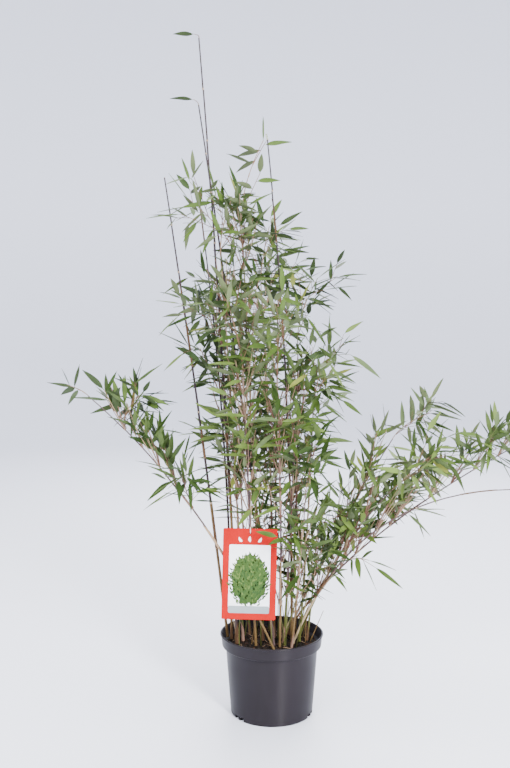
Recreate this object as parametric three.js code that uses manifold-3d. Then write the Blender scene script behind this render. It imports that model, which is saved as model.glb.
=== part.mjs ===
// A clump of bamboo in a round nursery pot, with a picture label hung on one of its canes.
// Millimetres, +Z up. The origin is the centre of the pot's flat underside, +X is to the right of the
// side that the label faces, and -Y is towards that side's viewer. Compass angles turn from +X to +Y.

import * as THREE from "three";
import { mergeVertices } from "three/addons/utils/BufferGeometryUtils.js";
import Module from "manifold-3d";

const wasm = await Module();
wasm.setup();

// Pot
const POT_HEIGHT = 168;
const FOOT_RADIUS = 86;
const SHOULDER_RADIUS = 96;
const RIM_RADIUS = 108;
const RIM_BAND = 25;
const WALL = 2.4;
const FLOOR = 3;
const POT_SIDES = 32;
const DRAIN_GROUPS = 3;
const DRAIN_FIRST = -22;
const DRAIN_WIDTH = 12;
const DRAIN_HEIGHT = 8;
const DRAIN_APART = 16;
const FOOT_EDGE = [3, 4];
const SHOULDER_DROP = 6;
const SHOULDER_EDGE = [5, 3.5];
const COLLAR_RISE = 3;
const LIP = 0.6;

// Compost
const SOIL_TOP = 150;
const GAP = 0.3;

// Canes: each swells at its nodes and tapers to its tip
const CANE_SIDES = 5;
const INTERNODE = 100;
const NODE_SWELL = 1.22;
const NODE_STEP = 3;
const TIP_SHARE = 0.42;
const FOOT_FLARE = 1.3;
const UPRIGHT = 1e-4;

// Points this near to each other are one point, and a fused surface is eased by this much
const WELD_NEAR = 1e-4;
const WELD = 0.02;

// Sprays: a stem that leaves its cane, the twigs on it and the leaves on them
const STEM_RADIUS = 1.9;
const TIP_GAP = 0.72;
const STEM_RISE = 0.4;
const STEM_SPREAD = 0.1;
const TWIG_RADIUS = 1.45;
const TWIG_END = 1.2;
const TWIGS = 3;
const TWIG_FIRST = 0.12;
const TWIG_LAST = 0.72;
const TWIG_LEAN = 30;
const TWIG_SHARE = 0.42;
const TWIG_LEAST = 14;
const TWIG_TRIES = [0, 60, -60, 120, -120, 180];
const STEM_TRIES = [0, 14, -14, 28, -28, 42, -42, 60, -60, 80, -80];
const GOLDEN_ANGLE = 137.5;
const LEAVES_AT = [1, 0.8, 0.6, 0.4, 0.2];
const LEAF_LEANS = [16, 48, 54, 60, 66];
const LEAF_LEAN_VARIES = 14;
const LEAF_TURN = 180;
const LEAF_TURN_VARIES = 40;
const LEAF_FALL = 0.12;
const LEAF_FALL_VARIES = 0.25;
const LEAF_ROLL = 80;
const LEAF_LENGTH = 68;
const LEAF_SHORTEST = 0.74;
const LEAF_LENGTH_VARIES = 0.36;
const LEAF_WIDTH = 12;
const LEAF_THICK = 1.4;
const LEAF_WIDEST = 0.38;
const LEAF_SINK = 0.7;
const LEAF_DROOP = 0.1;
const NECK_FROM = 0.2;
const NECK_TO = 0.45;
const NARROW_AT = 0.6;
const CLEARANCE = 0.6;

// Label and its tie
const LABEL_WIDTH = 109;
const LABEL_HEIGHT = 186;
const LABEL_THICK = 1.2;
const LABEL_CORNER = 3;
const LABEL_TOP = 403;
const LABEL_FRONT = -70;
const LABEL_ROLL = 1.5;
const LABEL_HOLE = 2.2;
const LABEL_STEPS = 3;
const LABEL_COLUMNS = [-0.42, -0.14, 0.14, 0.42];
const LABEL_COLUMN_SHARE = 0.09;
const HOLE_DROP = 9;
const TIE_RADIUS = 0.8;
const TIE_RINGS = 32;
const TIE_SIDES = 4;
const TIE_HOLD = 3.2;
const LABEL_CANE = "cane_label";

// Where each cane's foot stands on the compost, where its tip ends, how far its middle stands off the
// straight line between them, and its width at the foot. The end spray carries the cane on from its
// tip, and the side sprays leave it between two shares of its length, turned on round it by the golden
// angle. Compass and lift say which way and how steeply a stem heads, and length how long it is.
// Leaf scales a spray's leaves, and roll turns them about their own length.
const CANES = [
  { name: "cane_tallest", foot: [-72, -22], tip: [-148, 8, 1390], sway: [6, 0, 0], width: 6,
    end: { compass: 178, lift: 30, length: 12, twigs: 0, leaf: 1, roll: 16 } },
  { name: "cane_second", foot: [4, -34], tip: [-151, 30, 1262], sway: [4, 0, 0], width: 5.8,
    end: { compass: 180, lift: 44, length: 14, twigs: 0, leaf: 1, roll: 16 } },
  { name: "cane_left_bare", foot: [-93, 20], tip: [-219, 0, 1110], sway: [4, 0, 0], width: 5.8 },
  { name: "cane_left_thin", foot: [-84, 6], tip: [-154, 45, 1088], sway: [15, 0, 0], width: 5,
    side: { count: 1, from: 0.6, compass: 205, lift: 66, length: 100 } },
  { name: "cane_right_bare", foot: [42, 4], tip: [-10, 12, 1188], sway: [14, 0, 0], width: 5.4 },
  { name: "cane_middle", foot: [-18, -2], tip: [-62, -4, 1022], sway: [-2, 0, 0], width: 5.6,
    end: { compass: 20, lift: 74, length: 170, twigs: 2, leaf: 1.1, roll: 50 },
    side: { count: 1, from: 0.9, compass: 186, lift: 52, length: 180, twigs: 4 } },
  { name: "cane_label", foot: [-33, -34], tip: [-59, -90, 720], sway: [0, 0, 0], width: 6.2,
    end: { compass: 200, lift: 76, length: 150, twigs: 4 } },
  { name: "cane_upper_left", foot: [-60, -4], tip: [-104, -24, 950], sway: [4, 0, 0], width: 5.2,
    end: { compass: 20, lift: 78, length: 120, twigs: 4 },
    side: { count: 1, from: 0.76, compass: 185, lift: 62, length: 120 } },
  { name: "cane_front", foot: [16, -40], tip: [8, -122, 700], sway: [4, 6, 0], width: 5.6,
    end: { compass: 300, lift: 74, length: 140, twigs: 4 },
    side: { count: 1, from: 0.4, compass: 350, lift: 70, length: 140 } },
  { name: "cane_right_front", foot: [40, -44], tip: [64, -96, 470], sway: [2, 2, 0], width: 4.8,
    end: { compass: 310, lift: 74, length: 110 } },
  { name: "cane_centre", foot: [6, 14], tip: [-22, 30, 880], sway: [4, 0, 0], width: 5.4,
    end: { compass: 60, lift: 76, length: 140, twigs: 4 } },
  { name: "cane_right_upper", foot: [40, 30], tip: [54, 36, 775], sway: [6, 0, 0], width: 5.4,
    end: { compass: 10, lift: 72, length: 140, twigs: 4 },
    side: { count: 1, from: 0.6, compass: 350, lift: 68, length: 140 } },
  { name: "cane_right_inner", foot: [24, -18], tip: [42, -92, 560], sway: [2, 4, 0], width: 5,
    end: { compass: 20, lift: 76, length: 130 } },
  { name: "cane_right_outer", foot: [58, -10], tip: [82, -54, 640], sway: [2, 0, 0], width: 5.2,
    end: { compass: 350, lift: 76, length: 130, twigs: 4 },
    side: { count: 1, from: 0.2, compass: 330, lift: 70, length: 110 } },
  { name: "cane_right_short", foot: [74, -2], tip: [94, -8, 380], sway: [2, 0, 0], width: 4.6,
    end: { compass: 350, lift: 30, length: 76 } },
  { name: "cane_back_left", foot: [-46, 34], tip: [-86, 128, 760], sway: [0, -8, 0], width: 5.2,
    end: { compass: 130, lift: 72, length: 150, twigs: 4 },
    side: { count: 1, from: 0.5, compass: 170, lift: 68, length: 140 } },
  { name: "cane_back", foot: [6, 48], tip: [16, 172, 820], sway: [0, -10, 0], width: 5.4,
    end: { compass: 84, lift: 72, length: 150, twigs: 4 } },
  { name: "cane_left_arching", foot: [4, -58], tip: [-372, -46, 670], sway: [22, 0, 30], width: 5,
    end: { compass: 182, lift: 30, length: 30, twigs: 1 },
    side: { count: 2, from: 0.44, to: 0.84, compass: 230, lift: 66, length: 76 } },
  { name: "cane_right_low", foot: [44, -22], tip: [490, -34, 476], sway: [-52, 0, 78], width: 4.4,
    end: { compass: 350, lift: 50, length: 80 },
    side: { count: 1, from: 0.32, compass: 345, lift: 6, length: 50, twigs: 2, roll: 40 } },
  { name: "cane_right_flat", foot: [26, 14], tip: [530, 30, 566], sway: [-66, 0, 0], width: 4.6,
    end: { compass: 10, lift: 36, length: 50, twigs: 2 },
    side: { count: 4, from: 0.42, to: 0.88, compass: 250, lift: 58, length: 90 } },
  { name: "cane_right_rising", foot: [36, 46], tip: [264, 90, 565], sway: [-8, 0, 4], width: 4.4,
    end: { compass: 4, lift: 34, length: 96 },
    side: { count: 1, from: 0.6, compass: 350, lift: 30, length: 104 } },
  { name: "cane_right_branching", foot: [58, 16], tip: [246, -34, 476], sway: [-12, 0, 20], width: 4.4,
    end: { compass: 8, lift: 40, length: 130, twigs: 4 } },
];

const COLOURS = {
  pot: { color: 0x2e2d33, roughness: 0.45, metalness: 0 },
  soil: { color: 0x241811, roughness: 0.95, metalness: 0 },
  cane: { color: 0xa8845c, roughness: 0.6, metalness: 0 },
  leaves: { color: 0x5c8a3a, roughness: 0.5, metalness: 0 },
  label: { color: 0xf04438, roughness: 0.35, metalness: 0 },
  tie: { color: 0xe8e4dc, roughness: 0.4, metalness: 0 },
};

const UP = new THREE.Vector3(0, 0, 1);
const radians = THREE.MathUtils.degToRad;

// Numbers from 0 to 1 that come out the same each time for the same seed.
function seeded(seed) {
  let state = seed >>> 0;
  return () => {
    state = (state + 0x6d2b79f5) >>> 0;
    let mixed = state;
    mixed = Math.imul(mixed ^ (mixed >>> 15), mixed | 1);
    mixed ^= mixed + Math.imul(mixed ^ (mixed >>> 7), mixed | 61);
    return ((mixed ^ (mixed >>> 14)) >>> 0) / 4294967296;
  };
}

function heading(compass, lift) {
  const level = Math.cos(radians(lift));
  return new THREE.Vector3(
    level * Math.cos(radians(compass)),
    level * Math.sin(radians(compass)),
    Math.sin(radians(lift)),
  );
}

// A vector across the line of travel, level wherever that line isn't upright.
function across(along) {
  const level = new THREE.Vector3().crossVectors(along, UP);
  return level.lengthSq() > UPRIGHT ? level.normalize() : new THREE.Vector3(1, 0, 0);
}

// along, leaned over by an angle towards the side at the given turn round it.
function leaned(along, turn, angle) {
  const side = across(along).applyAxisAngle(along, radians(turn));
  return along.clone().multiplyScalar(Math.cos(radians(angle)))
    .addScaledVector(side, Math.sin(radians(angle)));
}

// Closed meshes and solids

function meshOf(points, faces) {
  const geometry = new THREE.BufferGeometry();
  const numbers = points.flatMap((point) => point.toArray());
  geometry.setAttribute("position", new THREE.Float32BufferAttribute(numbers, 3));
  geometry.setIndex(faces.flat());
  return geometry;
}

function welded(geometry) {
  const bare = geometry.clone();
  bare.deleteAttribute("normal");
  bare.deleteAttribute("uv");
  return mergeVertices(bare, WELD_NEAR);
}

function solidOf(geometry) {
  const merged = welded(geometry);
  return new wasm.Manifold(new wasm.Mesh({
    numProp: 3,
    vertProperties: merged.attributes.position.array,
    triVerts: new Uint32Array(merged.index.array),
  }));
}

function geometryOf(solid) {
  const made = solid.getMesh();
  const geometry = new THREE.BufferGeometry();
  geometry.setAttribute("position", new THREE.BufferAttribute(new Float32Array(made.vertProperties), 3));
  geometry.setIndex(new THREE.BufferAttribute(new Uint32Array(made.triVerts), 1));
  return geometry;
}

// Whether each edge of a surface, once its near points are made one, still has one face on either side.
function isSound(geometry) {
  const corners = welded(geometry).index.array;
  const edges = new Set();
  for (let index = 0; index < corners.length; index++) {
    const next = index % 3 === 2 ? index - 2 : index + 1;
    edges.add(corners[index] + " " + corners[next]);
  }
  return edges.size === corners.length
    && [...edges].every((edge) => edges.has(edge.split(" ").reverse().join(" ")));
}

// Faces that join rings of points one after another. A closed loop of rings has no end caps.
function ringFaces(rings, sides, loop) {
  const faces = [];
  const joined = loop ? rings : rings - 1;
  for (let ring = 0; ring < joined; ring++) {
    const next = (ring + 1) % rings;
    for (let side = 0; side < sides; side++) {
      const a = ring * sides + side;
      const b = ring * sides + ((side + 1) % sides);
      const c = next * sides + ((side + 1) % sides);
      const d = next * sides + side;
      faces.push([a, b, c], [a, c, d]);
    }
  }
  if (!loop) {
    const last = (rings - 1) * sides;
    for (let side = 1; side < sides - 1; side++) {
      faces.push([0, side + 1, side], [last, last + side, last + side + 1]);
    }
  }
  return faces;
}

// A tube through sections of { at, along, radius }. A flat foot is cut level at the first one.
function tube(sections, sides, flatFoot) {
  const points = [];
  sections.forEach(({ at, along, radius }, index) => {
    const side = across(along);
    const front = new THREE.Vector3().crossVectors(along, side);
    for (let corner = 0; corner < sides; corner++) {
      const turn = (2 * Math.PI * corner) / sides;
      const point = at.clone()
        .addScaledVector(side, radius * Math.cos(turn))
        .addScaledVector(front, radius * Math.sin(turn));
      if (flatFoot && index === 0) {
        point.addScaledVector(along, (at.z - point.z) / along.z);
      }
      points.push(point);
    }
  });
  return meshOf(points, ringFaces(sections.length, sides, false));
}

// Pot and compost

function potProfile() {
  const bandFoot = POT_HEIGHT - RIM_BAND;
  const outside = [
    [FOOT_RADIUS - FOOT_EDGE[0], 0],
    [FOOT_RADIUS, FOOT_EDGE[1]],
    [SHOULDER_RADIUS, bandFoot - SHOULDER_DROP],
    [RIM_RADIUS - SHOULDER_EDGE[0], bandFoot - 1],
    [RIM_RADIUS - SHOULDER_EDGE[1], bandFoot + COLLAR_RISE],
    [RIM_RADIUS - 1, POT_HEIGHT - COLLAR_RISE],
    [RIM_RADIUS, POT_HEIGHT],
  ];
  const inside = [
    [RIM_RADIUS - WALL - LIP, POT_HEIGHT],
    [RIM_RADIUS - WALL - SHOULDER_EDGE[1], bandFoot + COLLAR_RISE + 1],
    [SHOULDER_RADIUS - WALL, bandFoot - SHOULDER_DROP + 2],
    [FOOT_RADIUS - WALL, FLOOR],
  ];
  return [[0, 0], ...outside, ...inside, [0, FLOOR]].map(([r, z]) => new THREE.Vector2(r, z));
}

function potGeometry() {
  let pot = solidOf(new THREE.LatheGeometry(potProfile(), POT_SIDES).rotateX(Math.PI / 2));
  for (let group = 0; group < DRAIN_GROUPS; group++) {
    for (const half of [-0.5, 0.5]) {
      const slot = new THREE.BoxGeometry(FOOT_RADIUS / 4, DRAIN_WIDTH, DRAIN_HEIGHT * 2);
      slot.translate(FOOT_RADIUS, half * DRAIN_APART, 0);
      slot.rotateZ(radians(DRAIN_FIRST + (360 / DRAIN_GROUPS) * group));
      pot = pot.subtract(solidOf(slot));
    }
  }
  return geometryOf(pot);
}

// The compost stands clear of the drain slots and of the wall, and its top is level.
function soilGeometry() {
  const bandFoot = POT_HEIGHT - RIM_BAND;
  const shoulder = bandFoot - SHOULDER_DROP;
  const slope = (SHOULDER_RADIUS - FOOT_RADIUS) / (shoulder - FOOT_EDGE[1]);
  const inner = (z) => FOOT_RADIUS - WALL - 2 * GAP + slope * (z - FLOOR);
  const profile = [
    [0, FLOOR + GAP],
    [inner(FLOOR) - 1, FLOOR + GAP],
    [inner(shoulder), shoulder],
    [inner(shoulder), SOIL_TOP],
    [0, SOIL_TOP],
  ].map(([r, z]) => new THREE.Vector2(r, z));
  return new THREE.LatheGeometry(profile, POT_SIDES).rotateX(Math.PI / 2);
}

// Canes

function canePath(cane) {
  const foot = new THREE.Vector3(cane.foot[0], cane.foot[1], SOIL_TOP + GAP);
  const tip = new THREE.Vector3(...cane.tip);
  const middle = foot.clone().lerp(tip, 0.5).addScaledVector(new THREE.Vector3(...cane.sway), 2);
  return new THREE.QuadraticBezierCurve3(foot, middle, tip);
}

const caneRadius = (cane, share) => (cane.width / 2) * (1 - (1 - TIP_SHARE) * share);
const nodesOf = (cane) => Math.round(canePath(cane).getLength() / INTERNODE);

function caneSections(cane) {
  const path = canePath(cane);
  const length = path.getLength();
  const nodes = nodesOf(cane);
  const section = (share, swell) => ({
    at: path.getPoint(share),
    along: path.getTangent(share).normalize(),
    radius: caneRadius(cane, share) * swell,
  });
  const sections = [section(0, FOOT_FLARE)];
  for (let node = 1; node < nodes; node++) {
    sections.push(section(node / nodes, NODE_SWELL), section(node / nodes + NODE_STEP / length, 1));
  }
  return [...sections, section(1, 1)];
}

// What each node has taken up: lines with a radius round them, so that a new piece can keep clear.

const claims = [];

function claim(owner, from, to, radius) {
  claims.push({ owner, from: from.clone(), to: to.clone(), radius });
}

// The smallest distance between two stretches of line.
function lineGap(a, b, c, d) {
  const first = b.clone().sub(a);
  const second = d.clone().sub(c);
  const between = a.clone().sub(c);
  const firstSq = first.lengthSq();
  const secondSq = second.lengthSq();
  const cross = first.dot(second);
  const onFirst = first.dot(between);
  const onSecond = second.dot(between);
  const spread = firstSq * secondSq - cross * cross;
  const clamp = THREE.MathUtils.clamp;
  let s = spread > 1e-9 ? clamp((cross * onSecond - onFirst * secondSq) / spread, 0, 1) : 0;
  const t = clamp((cross * s + onSecond) / secondSq, 0, 1);
  s = clamp((cross * t - onFirst) / firstSq, 0, 1);
  return a.clone().addScaledVector(first, s).distanceTo(c.clone().addScaledVector(second, t));
}

// Whether a line with a radius round it keeps clear of every claim but those of the owners named.
function isClear(from, to, radius, ...owners) {
  return claims.every((other) => owners.includes(other.owner)
    || lineGap(from, to, other.from, other.to) > radius + other.radius + CLEARANCE);
}

// Sprays

// Every spray of a cane, from the lowest to the one that carries it on. The others leave it at nodes.
function spraysOf(cane) {
  const { count = 0, from, to, compass, ...kind } = cane.side ?? {};
  const nodes = nodesOf(cane);
  const sprays = Array.from({ length: count }, (_, index) => ({
    ...kind,
    at: Math.round(nodes * (count > 1 ? from + ((to - from) * index) / (count - 1) : from)) / nodes,
    compass: compass + GOLDEN_ANGLE * index,
  }));
  return cane.end ? [...sprays, { ...cane.end, at: 1 }] : sprays;
}

function limb(points, startRadius, endRadius) {
  const last = points.length - 1;
  return points.map((at, index) => ({
    at,
    along: points[Math.min(index + 1, last)].clone().sub(points[Math.max(index - 1, 0)]).normalize(),
    radius: startRadius + ((endRadius - startRadius) * index) / last,
  }));
}

// The middle line of a leaf: its root, its widest place and its tip.
function leafLine({ root, along, length }) {
  const widest = root.clone().addScaledVector(along, length * LEAF_WIDEST);
  const tip = root.clone().addScaledVector(along, length).addScaledVector(UP, -LEAF_DROOP * length);
  return [root, widest, tip];
}

// A leaf with a flat upper side and a keel below, from its root through its widest place to its tip.
function leafGeometry(leaf) {
  const [root, widest, tip] = leafLine(leaf);
  const side = across(leaf.along).applyAxisAngle(leaf.along, leaf.roll);
  const under = new THREE.Vector3().crossVectors(leaf.along, side);
  const points = [
    root.clone().addScaledVector(leaf.along, -LEAF_SINK),
    widest.clone().addScaledVector(side, leaf.width / 2),
    widest.clone().addScaledVector(side, -leaf.width / 2),
    widest.clone().addScaledVector(under, LEAF_THICK),
    tip,
  ];
  return meshOf(points, [[0, 1, 2], [0, 2, 3], [0, 3, 1], [4, 2, 1], [4, 3, 2], [4, 1, 3]]);
}

// The leaves on one twig: one that carries its end on, and others to either side further back.
function leavesOf(twig, { leaf: size = 1, roll = 0 }, random) {
  const turn = random() * 360;
  return LEAVES_AT.map((share, index) => {
    const lean = LEAF_LEANS[index] + LEAF_LEAN_VARIES * random();
    const along = leaned(twig.along, turn + LEAF_TURN * index + LEAF_TURN_VARIES * random(), lean);
    along.z -= LEAF_FALL + LEAF_FALL_VARIES * random();
    return {
      root: twig.from.clone().lerp(twig.to, share).addScaledVector(twig.along, -LEAF_SINK),
      along: along.normalize(),
      length: LEAF_LENGTH * size * (LEAF_SHORTEST + LEAF_LENGTH_VARIES * random()),
      width: LEAF_WIDTH * Math.sqrt(size),
      roll: radians(roll + LEAF_ROLL * (random() - 0.5)),
    };
  });
}

// The room that a leaf takes: little by its root and its tip, and more round its blade.
function leafRoom(leaf) {
  const [root, widest, tip] = leafLine(leaf);
  const neck = root.clone().lerp(widest, NECK_TO);
  const narrow = widest.clone().lerp(tip, NARROW_AT);
  return [
    { from: root.clone().lerp(neck, NECK_FROM), to: neck, radius: leaf.width / 4 },
    { from: neck, to: narrow, radius: leaf.width / 2 },
    { from: narrow, to: tip, radius: leaf.width / 4 },
  ];
}

// Claims a leaf's room if that is clear. Its neck may be close to its own spray, and its blade only to
// the stem and the twigs of that.
function placeLeaf(leaf, name) {
  const blades = name + " blades";
  const [neck, ...blade] = leafRoom(leaf);
  const clear = isClear(neck.from, neck.to, neck.radius, name, blades)
    && blade.every(({ from, to, radius }) => isClear(from, to, radius, name));
  if (clear) {
    [neck, ...blade].forEach(({ from, to, radius }) => claim(blades, from, to, radius));
  }
  return clear;
}

// Where a stem would run, from just clear of its cane's side or its tip, if it is turned on a little.
function stemPoints(cane, spray, more) {
  const path = canePath(cane);
  const out = heading(spray.compass + more, spray.lift);
  const along = path.getTangent(spray.at).normalize();
  const off = out.clone().addScaledVector(along, -out.dot(along)).normalize();
  const start = path.getPoint(spray.at);
  const atTip = spray.at === 1;
  if (atTip) {
    start.addScaledVector(along, TIP_GAP);
  } else {
    start.addScaledVector(off, caneRadius(cane, spray.at) * NODE_SWELL + STEM_RADIUS + GAP);
  }
  const bend = start.clone().addScaledVector(along, spray.length * STEM_RISE);
  if (!atTip) bend.addScaledVector(off, spray.length * STEM_SPREAD);
  const end = start.clone().addScaledVector(out, spray.length);
  return new THREE.QuadraticBezierCurve3(start, bend, end).getPoints(3);
}

// Turns a spray round its cane to where its stem is clear of all else. The stem may be close to its own
// cane where it leaves it, and all along where it carries it on.
function placeStem(cane, spray, name) {
  for (const more of STEM_TRIES) {
    const stem = stemPoints(cane, spray, more);
    const clear = stem.slice(1).every((point, index) => {
      const owner = index === 0 || spray.at === 1 ? cane.name : name;
      return isClear(stem[index], point, STEM_RADIUS, owner);
    });
    if (clear) return stem;
  }
  throw new Error(name + " has no room for its stem");
}

// A twig from one place on its stem, at the first turn round it that is clear of all else.
function twigOf(stem, share, turn, length, name) {
  const place = share * (stem.length - 1);
  const below = stem[Math.floor(place)];
  const above = stem[Math.floor(place) + 1];
  const from = below.clone().lerp(above, place % 1);
  const stemAlong = above.clone().sub(below).normalize();
  for (const more of TWIG_TRIES) {
    const along = leaned(stemAlong, turn + more, TWIG_LEAN);
    const to = from.clone().addScaledVector(along, length);
    if (isClear(from, to, TWIG_RADIUS, name)) return { from, to, along };
  }
  return null;
}

// A spray's twigs, turned round its stem by the golden angle, and the leaves on its stem and its twigs.
// A twig or leaf that would touch another node is left out.
function growSpray(stem, spray, name, seed) {
  const [before, end] = stem.slice(-2);
  const axes = [{ from: before, to: end, along: end.clone().sub(before).normalize() }];
  const count = spray.twigs ?? TWIGS;
  for (let twig = 0; twig < count; twig++) {
    const share = TWIG_FIRST + (TWIG_LAST - TWIG_FIRST) * (count > 1 ? twig / (count - 1) : 1);
    const length = spray.length * TWIG_SHARE + TWIG_LEAST;
    const axis = twigOf(stem, share, spray.compass + GOLDEN_ANGLE * twig, length, name);
    if (axis) axes.push(axis);
  }
  axes.slice(1).forEach(({ from, to }) => claim(name, from, to, TWIG_RADIUS));
  const grown = axes.flatMap((axis, index) => leavesOf(axis, spray, seeded(seed + index)));
  const leaves = (count === 0 ? grown.slice(0, 1) : grown).filter((leaf) => placeLeaf(leaf, name));
  return { twigs: axes.slice(1), leaves };
}

// One surface round the stem, its twigs and its leaves. Where two leaves or a leaf and a twig cross in
// such a way that the surface pinches to a line, one leaf is left out.
function sprayGeometry(stem, { twigs, leaves }) {
  const wood = [
    tube(limb(stem, STEM_RADIUS, TWIG_RADIUS), 3, false),
    ...twigs.map(({ from, to }) => tube(limb([from, to], TWIG_RADIUS, TWIG_END), 3, false)),
  ].map(solidOf);
  const blades = leaves.map((leaf) => solidOf(leafGeometry(leaf)));
  for (let left = -1; left < blades.length; left++) {
    const kept = blades.filter((_, index) => index !== left);
    const geometry = geometryOf(wasm.Manifold.union([...wood, ...kept]).simplify(WELD));
    if (isSound(geometry)) return geometry;
  }
  throw new Error("a spray's surface is pinched");
}

// Label

function labelFrame() {
  const cane = canePath(CANES.find((each) => each.name === LABEL_CANE));
  const height = LABEL_TOP - HOLE_DROP;
  const grip = cane.getPoint((height - SOIL_TOP) / (cane.v2.z - SOIL_TOP));
  return { hole: new THREE.Vector3(grip.x, LABEL_FRONT, height), grip };
}

// A card with rounded corners and a hole for its tie, standing upright and a little askew.
function labelGeometry() {
  const half = LABEL_WIDTH / 2;
  const low = HOLE_DROP - LABEL_HEIGHT;
  const outline = new THREE.Shape();
  outline.moveTo(-half + LABEL_CORNER, low);
  outline.lineTo(half - LABEL_CORNER, low);
  outline.absarc(half - LABEL_CORNER, low + LABEL_CORNER, LABEL_CORNER, -Math.PI / 2, 0);
  outline.absarc(half - LABEL_CORNER, HOLE_DROP - LABEL_CORNER, LABEL_CORNER, 0, Math.PI / 2);
  outline.absarc(-half + LABEL_CORNER, HOLE_DROP - LABEL_CORNER, LABEL_CORNER, Math.PI / 2, Math.PI);
  outline.absarc(-half + LABEL_CORNER, low + LABEL_CORNER, LABEL_CORNER, Math.PI, Math.PI * 1.5);
  const hole = new THREE.Path();
  hole.absarc(0, 0, LABEL_HOLE, 0, Math.PI * 2, true);
  outline.holes.push(hole);
  const card = new THREE.ExtrudeGeometry(outline, {
    depth: LABEL_THICK,
    bevelEnabled: false,
    curveSegments: LABEL_STEPS,
  });
  card.translate(0, 0, -LABEL_THICK / 2);
  card.rotateZ(-radians(LABEL_ROLL));
  card.rotateX(Math.PI / 2);
  return card;
}

// A loop that leaves the hole to the front, goes over the card's top edge and round the cane.
function tieGeometry() {
  const { hole, grip } = labelFrame();
  const clear = LABEL_THICK / 2 + TIE_RADIUS + GAP;
  const round = TIE_HOLD + TIE_RADIUS + GAP;
  const over = HOLE_DROP + TIE_RADIUS + 1.2;
  const back = grip.y - hole.y;
  const path = new THREE.CatmullRomCurve3([
    [0, 0, 0],
    [0, -clear - 0.8, 2.2],
    [0, -clear - 1.2, HOLE_DROP - 0.5],
    [0, 0, over + 0.8],
    [round * 0.75, back * 0.6, over],
    [round, back, over],
    [0, back + round, over - 1],
    [-round, back, over - 2.5],
    [-round * 0.75, back * 0.6, over - 5],
    [0, clear + 0.9, 0.4],
  ].map((point) => new THREE.Vector3(...point)), true, "centripetal");
  const points = [];
  for (let ring = 0; ring < TIE_RINGS; ring++) {
    const at = path.getPoint(ring / TIE_RINGS);
    const along = path.getTangent(ring / TIE_RINGS).normalize();
    const outward = at.clone().sub(new THREE.Vector3(0, back / 2, over / 2));
    const side = new THREE.Vector3().crossVectors(along, outward).normalize();
    const front = new THREE.Vector3().crossVectors(along, side);
    for (let corner = 0; corner < TIE_SIDES; corner++) {
      const turn = (2 * Math.PI * corner) / TIE_SIDES;
      points.push(at.clone()
        .addScaledVector(side, TIE_RADIUS * Math.cos(turn))
        .addScaledVector(front, TIE_RADIUS * Math.sin(turn)));
    }
  }
  return meshOf(points, ringFaces(TIE_RINGS, TIE_SIDES, true));
}

// The whole plant

const plant = new THREE.Group();

function add(name, geometry, colour, position) {
  const mesh = new THREE.Mesh(geometry, new THREE.MeshStandardMaterial(COLOURS[colour]));
  mesh.name = name;
  if (position) mesh.position.copy(position);
  plant.add(mesh);
}

add("pot", potGeometry(), "pot");
add("soil", soilGeometry(), "soil");
const { hole } = labelFrame();
add("label", labelGeometry(), "label", hole);
add("label_tie", tieGeometry(), "tie", hole);

// The card's own room is four upright columns side by side.
const cardFoot = hole.clone().setZ(LABEL_TOP - LABEL_HEIGHT);
for (const share of LABEL_COLUMNS) {
  const shift = new THREE.Vector3(LABEL_WIDTH * share, 0, 0);
  claim("label", hole.clone().add(shift), cardFoot.clone().add(shift), LABEL_WIDTH * LABEL_COLUMN_SHARE);
}

for (const cane of CANES) {
  const sections = caneSections(cane);
  add(cane.name, tube(sections, CANE_SIDES, true), "cane");
  sections.slice(1).forEach((section, index) => {
    claim(cane.name, sections[index].at, section.at, sections[index].radius * NODE_SWELL);
  });
}

// Every stem has its place before any twig or leaf does.
const sprays = CANES.flatMap((cane, row) => spraysOf(cane).map((spray, place) => {
  const name = cane.name.replace("cane", "leaves") + "_" + (place + 1);
  const stem = placeStem(cane, spray, name);
  stem.slice(1).forEach((to, index) => claim(name, stem[index], to, STEM_RADIUS));
  return { name, spray, stem, seed: 1000 * (row + 1) + 10 * place };
}));

for (const { name, spray, stem, seed } of sprays) {
  add(name, sprayGeometry(stem, growSpray(stem, spray, name, seed)), "leaves");
}

export default plant;
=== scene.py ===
"""The looks of a clump of bamboo in a nursery pot. Lengths are millimetres until a mesh is made."""

import math
import random

import bmesh
import bpy
import numpy as np
from mathutils import Matrix, Vector, noise


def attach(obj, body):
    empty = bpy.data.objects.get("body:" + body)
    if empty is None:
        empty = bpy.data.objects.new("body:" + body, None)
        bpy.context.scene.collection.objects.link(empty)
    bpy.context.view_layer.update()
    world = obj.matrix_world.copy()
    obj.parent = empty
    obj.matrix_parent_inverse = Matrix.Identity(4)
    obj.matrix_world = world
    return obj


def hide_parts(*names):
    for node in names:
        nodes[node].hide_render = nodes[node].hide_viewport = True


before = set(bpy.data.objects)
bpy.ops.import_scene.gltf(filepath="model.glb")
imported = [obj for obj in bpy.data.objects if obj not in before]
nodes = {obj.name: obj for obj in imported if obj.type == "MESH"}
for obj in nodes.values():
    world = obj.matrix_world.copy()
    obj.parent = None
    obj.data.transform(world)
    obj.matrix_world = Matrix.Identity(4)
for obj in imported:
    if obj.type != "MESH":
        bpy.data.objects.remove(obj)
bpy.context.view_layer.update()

MM = 0.001
UP = Vector((0, 0, 1))

# Camera, as the photograph was taken: metres and degrees
CAMERA_PLACE = (-0.035, -1.860, 0.813)
CAMERA_DOWN = 3.81
SENSOR = 36
IMAGE_HEIGHT = 768
FOCAL_PIXELS = 904

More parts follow.
